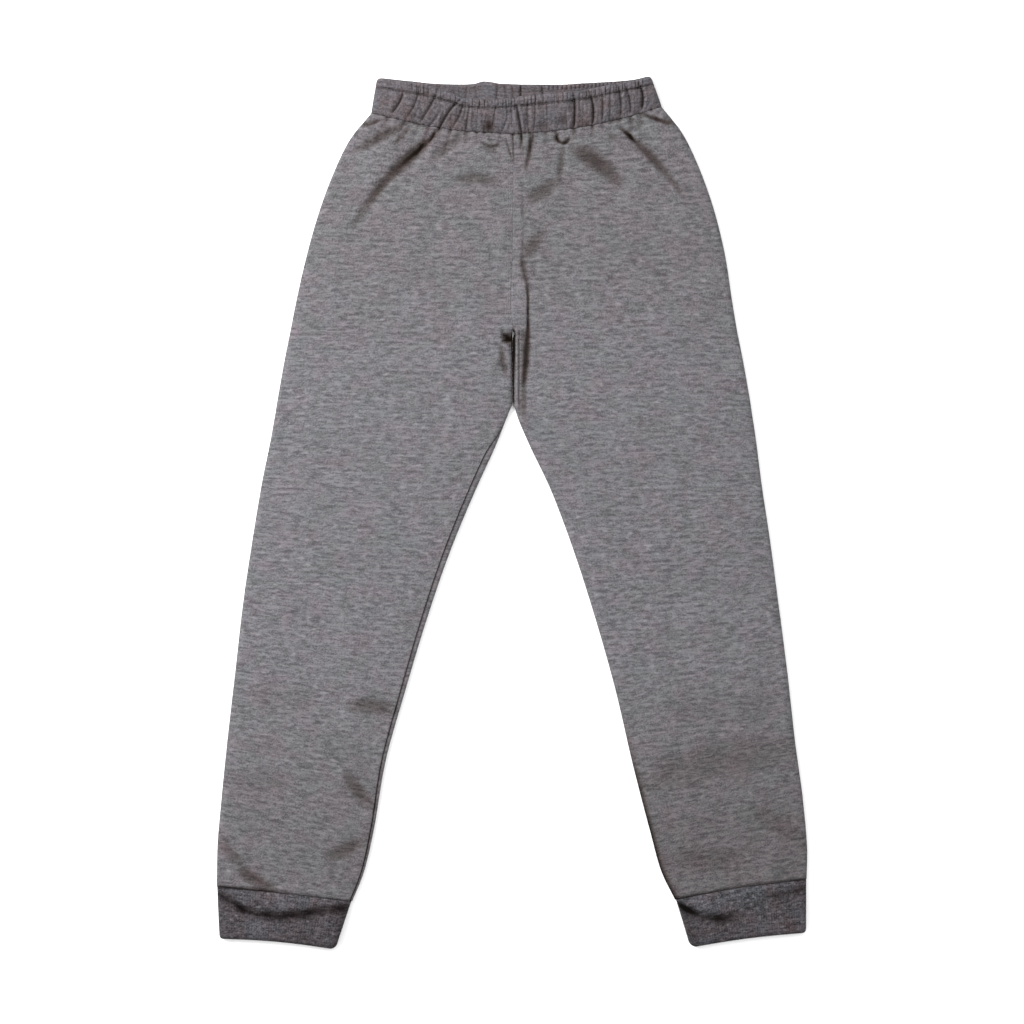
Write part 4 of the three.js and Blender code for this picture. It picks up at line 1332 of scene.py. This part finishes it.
class Group:
    """Helps to build a shader node group that follows the cloth's own coordinates."""

    def __init__(self, name: str, inputs: dict[str, float], outputs: list[str]) -> None:
        """Makes the group with its sockets.

        Args:
            name: Name of the group.
            inputs: Names of its inputs with their values.
            outputs: Names of its outputs.
        """
        self.tree = bpy.data.node_groups.new(name, "ShaderNodeTree")
        for key, value in inputs.items():
            socket = self.tree.interface.new_socket(key, in_out="INPUT", socket_type="NodeSocketFloat")
            socket.default_value = value
        for key in outputs:
            self.tree.interface.new_socket(key, in_out="OUTPUT", socket_type="NodeSocketFloat")
        self.entry = add_node(self.tree, "NodeGroupInput")
        self.leave = add_node(self.tree, "NodeGroupOutput")
        cloth = add_node(self.tree, "ShaderNodeUVMap", uv_map="cloth")
        self.apart = add_node(self.tree, "ShaderNodeSeparateXYZ")
        self.tree.links.new(cloth.outputs["UV"], self.apart.inputs[0])

    def scaled(self, across: Socket, along: Socket, layer: float) -> Socket:
        """Divides the cloth's coordinates by two sizes.

        Args:
            across: The size across the cloth.
            along: The size along it.
            layer: The third coordinate, which keeps two textures apart.

        Returns:
            The vector.
        """
        joined = add_node(self.tree, "ShaderNodeCombineXYZ", in_2=layer)
        for index, size in enumerate((across, along)):
            divided = add_node(self.tree, "ShaderNodeMath", operation="DIVIDE")
            self.tree.links.new(self.apart.outputs[index], divided.inputs[0])
            self.tree.links.new(size, divided.inputs[1])
            self.tree.links.new(divided.outputs[0], joined.inputs[index])
        return joined.outputs[0]

    def noise(self, vector: Socket, detail: float, distortion: float) -> Socket:
        """Adds a noise texture.

        Args:
            vector: Where it is read.
            detail: Its detail.
            distortion: Its distortion.

        Returns:
            Its value.
        """
        texture = add_node(self.tree, "ShaderNodeTexNoise", noise_dimensions="3D")
        texture.inputs["Scale"].default_value = 1.0
        texture.inputs["Detail"].default_value = detail
        texture.inputs["Roughness"].default_value = 0.6
        texture.inputs["Distortion"].default_value = distortion
        self.tree.links.new(vector, texture.inputs["Vector"])
        return texture.outputs["Fac"]

    def mixed(self, first: Socket, second: Socket, share: float) -> Socket:
        """Mixes two values.

        Args:
            first: The first value.
            second: The second value.
            share: The second one's share.

        Returns:
            The result.
        """
        mixer = add_node(self.tree, "ShaderNodeMix", data_type="FLOAT", in_0=share)
        self.tree.links.new(first, mixer.inputs[2])
        self.tree.links.new(second, mixer.inputs[3])
        return mixer.outputs[0]

    def put_out(self, name: str, value: Socket, low: float, high: float) -> None:
        """Stretches a range of values over 0 to 1 and puts it out.

        Args:
            name: The output's name.
            value: The value.
            low: What becomes 0.
            high: What becomes 1.
        """
        mapped = add_node(self.tree, "ShaderNodeMapRange", in_1=low, in_2=high)
        self.tree.links.new(value, mapped.inputs[0])
        self.tree.links.new(mapped.outputs[0], self.leave.inputs[name])


def marl_group() -> bpy.types.NodeTree:
    """Makes the group that draws a marl of short streaks on the cloth.

    Returns:
        A node group that puts out masks of the dark, pale, warm and cool fibres and a
        height.
    """
    inputs = {"Length": 0.006, "Thickness": 0.002, "Long": 0.020, "Patch": 0.023, "Grain": 0.0014}
    group = Group("marl", inputs, ["Dark", "Pale", "Warm", "Cool", "Height"])
    length, thickness, long, patch, grain = (group.entry.outputs[i] for i in range(5))
    short_streaks = group.noise(group.scaled(length, thickness, 3.0), 3.0, 0.12)
    long_streaks = group.noise(group.scaled(long, thickness, 11.0), 2.0, 0.12)
    grains = group.noise(group.scaled(grain, grain, 5.0), 1.0, 0.0)
    both = group.mixed(short_streaks, long_streaks, 0.45)
    group.put_out("Dark", group.mixed(both, grains, 0.30), 0.425, 0.59)
    pale = group.noise(group.scaled(length, thickness, 17.0), 0.5, 0.12)
    group.put_out("Pale", group.mixed(pale, long_streaks, 0.3), 0.56, 0.74)
    group.put_out("Warm", group.noise(group.scaled(patch, patch, 31.0), 3.0, 0.5), 0.36, 0.64)
    group.put_out("Cool", group.noise(group.scaled(patch, patch, 47.0), 3.0, 0.5), 0.40, 0.66)
    group.put_out("Height", grains, 0.25, 0.75)
    return group.tree


@dataclass(frozen=True)
class ClothFinish:
    """The look of a knitted cloth with a marl of dark, pale and warm fibres, and painted shade."""

    name: str
    base: tuple[float, float, float]
    dark: tuple[float, float, float]
    pale: tuple[float, float, float]
    warm: tuple[float, float, float]
    cool: tuple[float, float, float]
    # shadow multiplies the colour where shade is painted; the colour after it is the near black of the
    # deepest painted shade.
    shadow: tuple[float, float, float]
    painted_shade: tuple[float, float, float]
    dark_share: float
    pale_share: float
    warm_share: float
    cool_share: float
    streak_length: float
    streak_thickness: float
    bump: float
    sheen: float

    def build(self, marl: bpy.types.NodeTree) -> bpy.types.Material:
        """Builds the material.

        Args:
            marl: The node group that draws the marl.

        Returns:
            The new material.
        """
        material = bpy.data.materials.new(self.name)
        material.use_nodes = True
        tree = material.node_tree
        shader = tree.nodes["Principled BSDF"]
        fibres = add_node(tree, "ShaderNodeGroup", node_tree=marl)
        fibres.inputs["Length"].default_value = self.streak_length
        fibres.inputs["Thickness"].default_value = self.streak_thickness
        creases = add_node(tree, "ShaderNodeAttribute", attribute_name="painted_shade")
        colour = None
        for mask, tint, share, blend in (
            (fibres.outputs["Warm"], self.warm, self.warm_share, "MIX"),
            (fibres.outputs["Cool"], self.cool, self.cool_share, "MIX"),
            (fibres.outputs["Dark"], self.dark, self.dark_share, "MIX"),
            (fibres.outputs["Pale"], self.pale, self.pale_share, "MIX"),
            # Painted shade: the points' value multiplies the colour by shadow, and its cube mixes in the near
            # black.
            (creases.outputs["Fac"], self.shadow, 1.0, "MULTIPLY"),
            (self.cubed(tree, creases.outputs["Fac"]), self.painted_shade, 1.0, "MIX"),
        ):
            colour = self.layer(tree, colour, tint, mask, share, blend)
        tree.links.new(colour, shader.inputs["Base Color"])
        total = add_node(tree, "ShaderNodeMath", operation="ADD")
        tree.links.new(fibres.outputs["Dark"], total.inputs[0])
        tree.links.new(fibres.outputs["Height"], total.inputs[1])
        bump = add_node(tree, "ShaderNodeBump", in_0=self.bump, in_1=0.0005)
        tree.links.new(total.outputs[0], bump.inputs["Height"])
        tree.links.new(bump.outputs["Normal"], shader.inputs["Normal"])
        rough = add_node(tree, "ShaderNodeMapRange", in_3=0.84, in_4=0.97)
        tree.links.new(fibres.outputs["Height"], rough.inputs[0])
        tree.links.new(rough.outputs[0], shader.inputs["Roughness"])
        shader.inputs["Specular IOR Level"].default_value = 0.03
        shader.inputs["Sheen Weight"].default_value = self.sheen
        shader.inputs["Sheen Roughness"].default_value = 0.6
        return material

    @staticmethod
    def cubed(tree: bpy.types.NodeTree, value: Socket) -> Socket:
        """Raises a value to the third power.

        Args:
            tree: The material's node tree.
            value: The value.

        Returns:
            The result.
        """
        power = add_node(tree, "ShaderNodeMath", operation="POWER", in_1=3.0)
        tree.links.new(value, power.inputs[0])
        return power.outputs[0]

    def layer(self, tree: bpy.types.NodeTree, under: Socket | None, tint: tuple,
              mask: Socket, share: float, blend: str) -> Socket:
        """Lays a tint over the cloth's colour through a mask.

        Args:
            tree: The material's node tree.
            under: The colour below, or None for the base colour.
            tint: The colour that is laid over it.
            mask: Where it shows.
            share: How much of it shows there.
            blend: How the two colours are blended.

        Returns:
            The mixed colour.
        """
        part = add_node(tree, "ShaderNodeMath", operation="MULTIPLY", in_1=share)
        tree.links.new(mask, part.inputs[0])
        mixed = add_node(tree, "ShaderNodeMix", data_type="RGBA", blend_type=blend)
        mixed.inputs[6].default_value = (*self.base, 1.0)
        mixed.inputs[7].default_value = (*tint, 1.0)
        tree.links.new(part.outputs[0], mixed.inputs[0])
        if under is not None:
            tree.links.new(under, mixed.inputs[6])
        return mixed.outputs[2]


@dataclass(frozen=True)
class ThreadFinish:
    """The look of spun polyester thread."""

    name: str
    colour: tuple[float, float, float]
    roughness: float = 0.7

    def build(self) -> bpy.types.Material:
        """Builds the material."""
        material = bpy.data.materials.new(self.name)
        material.use_nodes = True
        tree = material.node_tree
        shader = tree.nodes["Principled BSDF"]
        place = add_node(tree, "ShaderNodeTexCoord")
        twist = add_node(tree, "ShaderNodeTexNoise", noise_dimensions="3D")
        twist.inputs["Scale"].default_value = 1500.0
        tree.links.new(place.outputs["Object"], twist.inputs["Vector"])
        mixed = add_node(tree, "ShaderNodeMix", data_type="RGBA")
        mixed.inputs[6].default_value = (*(0.7 * part for part in self.colour), 1.0)
        mixed.inputs[7].default_value = (*(1.3 * part for part in self.colour), 1.0)
        tree.links.new(twist.outputs["Fac"], mixed.inputs[0])
        tree.links.new(mixed.outputs[2], shader.inputs["Base Color"])
        shader.inputs["Roughness"].default_value = self.roughness
        return material


# In each finish, shadow and the near black after it are the colours of painted shade.
MARL_FLEECE = ClothFinish(
    name="marl_fleece", base=(0.134, 0.130, 0.140), dark=(0.024, 0.0225, 0.0255), pale=(0.264, 0.256, 0.272),
    warm=(0.127, 0.104, 0.116), cool=(0.107, 0.118, 0.119),
    shadow=(0.44, 0.34, 0.285), painted_shade=(0.003, 0.002, 0.001),
    dark_share=0.69, pale_share=0.34, warm_share=0.55, cool_share=0.6,
    streak_length=0.0066, streak_thickness=0.0028, bump=0.4, sheen=0.01,
)
BAND_FLEECE = ClothFinish(
    name="waistband_fleece", base=(0.099, 0.093, 0.104), dark=(0.022, 0.020, 0.022), pale=(0.21, 0.195, 0.21),
    warm=(0.096, 0.072, 0.072), cool=(0.070, 0.078, 0.088),
    shadow=(0.44, 0.33, 0.28), painted_shade=(0.003, 0.002, 0.001),
    dark_share=0.66, pale_share=0.34, warm_share=0.75, cool_share=0.55,
    streak_length=0.0036, streak_thickness=0.0022, bump=0.45, sheen=0.01,
)
CUFF_RIB = ClothFinish(
    name="cuff_rib", base=(0.096, 0.0905, 0.1015), dark=(0.009, 0.008, 0.009), pale=(0.235, 0.225, 0.25),
    warm=(0.084, 0.060, 0.062), cool=(0.060, 0.072, 0.080),
    shadow=(0.36, 0.30, 0.28), painted_shade=(0.003, 0.002, 0.002),
    dark_share=0.82, pale_share=0.42, warm_share=0.65, cool_share=0.6,
    streak_length=0.0044, streak_thickness=0.0026, bump=0.6, sheen=0.01,
)
DARK_THREAD = ThreadFinish("dark_thread", (0.05, 0.045, 0.048))
GREY_THREAD = ThreadFinish("grey_thread", (0.15, 0.145, 0.15))


def stitch_tree(material: bpy.types.Material) -> bpy.types.NodeTree:
    """Makes the Geometry Nodes tree that sets stitches along a path.

    Args:
        material: The thread's material.

    Returns:
        The node tree, with the inputs Pitch, Length, Thickness and Seed.
    """
    tree = bpy.data.node_groups.new("stitches_" + material.name, "GeometryNodeTree")
    tree.interface.new_socket("Geometry", in_out="INPUT", socket_type="NodeSocketGeometry")
    for name, value in (("Pitch", 0.003), ("Length", 0.0024), ("Thickness", 0.0005)):
        socket = tree.interface.new_socket(name, in_out="INPUT", socket_type="NodeSocketFloat")
        socket.default_value = value
    seed = tree.interface.new_socket("Seed", in_out="INPUT", socket_type="NodeSocketInt")
    seed.default_value = 4
    tree.interface.new_socket("Geometry", in_out="OUTPUT", socket_type="NodeSocketGeometry")
    entry = add_node(tree, "NodeGroupInput")
    leave = add_node(tree, "NodeGroupOutput")
    curve = add_node(tree, "GeometryNodeMeshToCurve")
    spaced = add_node(tree, "GeometryNodeResampleCurve", mode="LENGTH")
    tangent = add_node(tree, "GeometryNodeInputTangent")
    aligned = add_node(tree, "FunctionNodeAlignRotationToVector", axis="X")
    ball = add_node(tree, "GeometryNodeMeshUVSphere")
    ball.inputs["Segments"].default_value = 8
    ball.inputs["Rings"].default_value = 6
    ball.inputs["Radius"].default_value = 0.5
    size = add_node(tree, "ShaderNodeCombineXYZ")
    uneven = add_node(tree, "FunctionNodeRandomValue", data_type="FLOAT")
    uneven.inputs[2].default_value = 0.85
    uneven.inputs[3].default_value = 1.15
    longer = add_node(tree, "ShaderNodeMath", operation="MULTIPLY")
    placed = add_node(tree, "GeometryNodeInstanceOnPoints")
    real = add_node(tree, "GeometryNodeRealizeInstances")
    painted = add_node(tree, "GeometryNodeSetMaterial")
    painted.inputs["Material"].default_value = material
    for source, given, target, taken in (
        (entry, "Geometry", curve, "Mesh"),
        (curve, "Curve", spaced, "Curve"),
        (entry, "Pitch", spaced, "Length"),
        (tangent, "Tangent", aligned, "Vector"),
        (entry, "Seed", uneven, "Seed"),
        (entry, "Length", longer, 0),
        (uneven, 1, longer, 1),
        (longer, 0, size, 0),
        (entry, "Thickness", size, 1),
        (entry, "Thickness", size, 2),
        (spaced, "Curve", placed, "Points"),
        (ball, "Mesh", placed, "Instance"),
        (aligned, "Rotation", placed, "Rotation"),
        (size, 0, placed, "Scale"),
        (placed, "Instances", real, "Geometry"),
        (real, "Geometry", painted, "Geometry"),
        (painted, "Geometry", leave, "Geometry"),
    ):
        tree.links.new(source.outputs[given], target.inputs[taken])
    return tree


@dataclass
class Stitching:
    """Rows of machine stitches along paths on the cloth."""

    name: str
    paths: list[np.ndarray]
    tree: bpy.types.NodeTree
    pitch: float = 3.0
    length: float = 2.4
    thickness: float = 0.5

    def build(self) -> bpy.types.Object:
        """Builds the stitches as one mesh and returns its object."""
        points: list[list[float]] = []
        edges: list[tuple[int, int]] = []
        for path in self.paths:
            first = len(points)
            points += ((path - np.array([*OUTLINE_MIDDLE, 0.0])) * MM).tolist()
            edges += [(first + i, first + i + 1) for i in range(len(path) - 1)]
        guide = bpy.data.meshes.new(self.name + "_paths")
        guide.from_pydata(points, edges, [])
        piece = bpy.data.objects.new(self.name, guide)
        bpy.context.collection.objects.link(piece)
        nodes = piece.modifiers.new("stitches", "NODES")
        nodes.node_group = self.tree
        sizes = {"Pitch": self.pitch * MM, "Length": self.length * MM, "Thickness": self.thickness * MM}
        for item in self.tree.interface.items_tree:
            if item.name in sizes:
                nodes[item.identifier] = sizes[item.name]
        evaluated = piece.evaluated_get(bpy.context.evaluated_depsgraph_get())
        mesh = bpy.data.meshes.new_from_object(evaluated)
        piece.modifiers.clear()
        piece.data = mesh
        return piece


def dress(piece: bpy.types.Object, material: bpy.types.Material, node: str) -> None:
    """Gives a piece its material and its place in the frame.

    Args:
        piece: The piece.
        material: Its material.
        node: The solid that it stands for.
    """
    if not piece.data.materials:
        piece.data.materials.append(material)
    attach(piece, "root")
    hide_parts(node)
    LOG.info("%s: %d faces", piece.name, len(piece.data.polygons))


@dataclass
class Studio:
    """A pale table under soft light, seen from straight above."""

    camera_height: float = 2.055
    lens: float = 85.0
    table: float = 3.0
    floor_colour: tuple[float, float, float] = (0.93, 0.93, 0.93)

    def build(self) -> None:
        """Builds the table, the lights and the camera."""
        half = self.table
        mesh = bpy.data.meshes.new("table")
        corners = [(-half, -half, 0), (half, -half, 0), (half, half, 0), (-half, half, 0)]
        mesh.from_pydata(corners, [], [(0, 1, 2, 3)])
        floor = bpy.data.objects.new("table", mesh)
        bpy.context.collection.objects.link(floor)
        material = bpy.data.materials.new("table")
        material.use_nodes = True
        shader = material.node_tree.nodes["Principled BSDF"]
        shader.inputs["Base Color"].default_value = (*self.floor_colour, 1.0)
        shader.inputs["Roughness"].default_value = 0.9
        mesh.materials.append(material)
        self.light("key", (-1.05, 0.75, 1.05), 0.8, 45.0)
        self.light("fill", (0.5, 0.5, 2.2), 1.6, 17.5)
        world = bpy.data.worlds.new("studio")
        world.use_nodes = True
        world.node_tree.nodes["Background"].inputs["Color"].default_value = (1.0, 1.0, 1.0, 1.0)
        world.node_tree.nodes["Background"].inputs["Strength"].default_value = 1.0
        bpy.context.scene.world = world
        bpy.context.scene.view_settings.view_transform = "Standard"
        camera = bpy.data.cameras.new("camera")
        camera.lens = self.lens
        eye = bpy.data.objects.new("camera", camera)
        eye.location = (0.0, 0.0, self.camera_height)
        bpy.context.collection.objects.link(eye)
        bpy.context.scene.camera = eye

    def light(self, name: str, place: tuple[float, float, float], size: float, power: float) -> None:
        """Hangs a square softbox that faces the garment.

        Args:
            name: Its name.
            place: Where it hangs, in metres.
            size: The length of its sides, in metres.
            power: Its power in watts.
        """
        data = bpy.data.lights.new(name, "AREA")
        data.size = size
        data.energy = power
        lamp = bpy.data.objects.new(name, data)
        lamp.location = place
        direction = -lamp.location
        lamp.rotation_euler = direction.to_track_quat("-Z", "Y").to_euler()
        bpy.context.collection.objects.link(lamp)


def lay(path: np.ndarray, outer: np.ndarray, lift: float = 0.2) -> np.ndarray:
    """Lays a flat path on the upper side of a piece of cloth.

    Args:
        path: Its x and y.
        outer: The cloth's outer points.
        lift: How far over the cloth the path runs.

    Returns:
        The path with its heights.
    """
    upper = outer.reshape(-1, 3)
    upper = upper[upper[:, 2] > EDGE_HEIGHT / 2]
    gaps = np.hypot(upper[None, :, 0] - path[:, None, 0], upper[None, :, 1] - path[:, None, 1])
    heights = upper[np.argmin(gaps, axis=1), 2] + lift
    return np.column_stack([path, heights])


def centre_paths(outer: np.ndarray) -> list[np.ndarray]:
    """Draws the two rows of stitches left of the centre seam, down to the crotch.

    Args:
        outer: The right leg's outer points.

    Returns:
        The rows' points.
    """
    rows = []
    for x in (-3.3, -1.9):
        y = np.linspace(300.0, 168.0, 90)
        straight = np.column_stack([np.full_like(y, x) + 0.25 * np.sin(y / 21.0), y])
        turn = np.linspace(0.0, 1.0, 8)[1:]
        curve = np.column_stack([x - 4.0 * turn ** 2, 168.0 - 5.5 * np.sin(turn * np.pi / 2)])
        rows.append(lay(np.concatenate([straight, curve]), outer))
    return rows


def crotch_paths(outer: np.ndarray) -> list[np.ndarray]:
    """Returns the stitches on both sides of the inseam, from the crotch to below the apex."""
    y = np.linspace(154.0, 98.0, 40)
    return [lay(np.column_stack([np.full_like(y, x), y]), outer) for x in (4.6, 7.7)]


def build_legs(legs: dict[Side, Leg], cloth: bpy.types.Material, thread: bpy.types.NodeTree) -> None:
    """Builds the legs with their stitches.

    Args:
        legs: The legs.
        cloth: Their cloth.
        thread: The node tree of the stitches.
    """
    for side, node, name, find_paths in (
        (Side.RIGHT, "leg_right", "centre_stitches", centre_paths),
        (Side.LEFT, "leg_left", "crotch_stitches", crotch_paths),
    ):
        leg = legs[side]
        outer = leg.grids()[0]
        piece = leg.build()
        dress(piece, cloth, node)
        stitches = Stitching(name, find_paths(outer), thread, length=2.2, thickness=0.38).build()
        dress(stitches, cloth, node)
        width, length, area = leg.flat_size()


def build_waistband(legs: dict[Side, Leg], cloth: bpy.types.Material, thread: bpy.types.NodeTree) -> None:
    """Builds the waistband with the stitches of its header.

    Args:
        legs: The legs that it is sewn to.
        cloth: Its cloth.
        thread: The node tree of the stitches.
    """
    waistband = Waistband(legs)
    piece = waistband.build()
    dress(piece, cloth, "waistband")
    paths = waistband.header_paths()
    stitches = Stitching("header_stitches", paths, thread, length=2.3, thickness=0.45).build()
    dress(stitches, cloth, "waistband")


def build_cuffs(legs: dict[Side, Leg], cloth: bpy.types.Material) -> None:
    """Builds the cuffs.

    Args:
        legs: The legs that they are sewn to.
        cloth: Their cloth.
    """
    right = Cuff(
        leg=legs[Side.RIGHT], inset=(0.4, 0.8), outer_foot=(-247.9, -361.4), inner_foot=(-147.4, -370.8),
        bow=2.0, radii=(2.8, 8.0), trough=RIGHT_TROUGH,
    )
    left = Cuff(
        leg=legs[Side.LEFT], inset=(0.4, 0.8), outer_foot=(249.7, -356.3), inner_foot=(149.4, -369.3),
        bow=1.6, radii=(3.0, 9.0), trough=LEFT_TROUGH,
    )
    for cuff, node in ((right, "cuff_right"), (left, "cuff_left")):
        piece = cuff.build()
        dress(piece, cloth, node)


def main() -> None:
    """Builds the sweatpants, piece by piece, and the studio round them."""
    logging.basicConfig(level=logging.INFO)
    relief = Relief()
    legs = {Side.RIGHT: Leg(Side.RIGHT, RIGHT_ROWS, relief), Side.LEFT: Leg(Side.LEFT, LEFT_ROWS, relief)}
    marl = marl_group()
    grey_stitches = stitch_tree(GREY_THREAD.build())
    dark_stitches = stitch_tree(DARK_THREAD.build())
    build_legs(legs, MARL_FLEECE.build(marl), grey_stitches)
    build_waistband(legs, BAND_FLEECE.build(marl), dark_stitches)
    build_cuffs(legs, CUFF_RIB.build(marl))
    Studio().build()


if __name__ == "__main__":
    main()
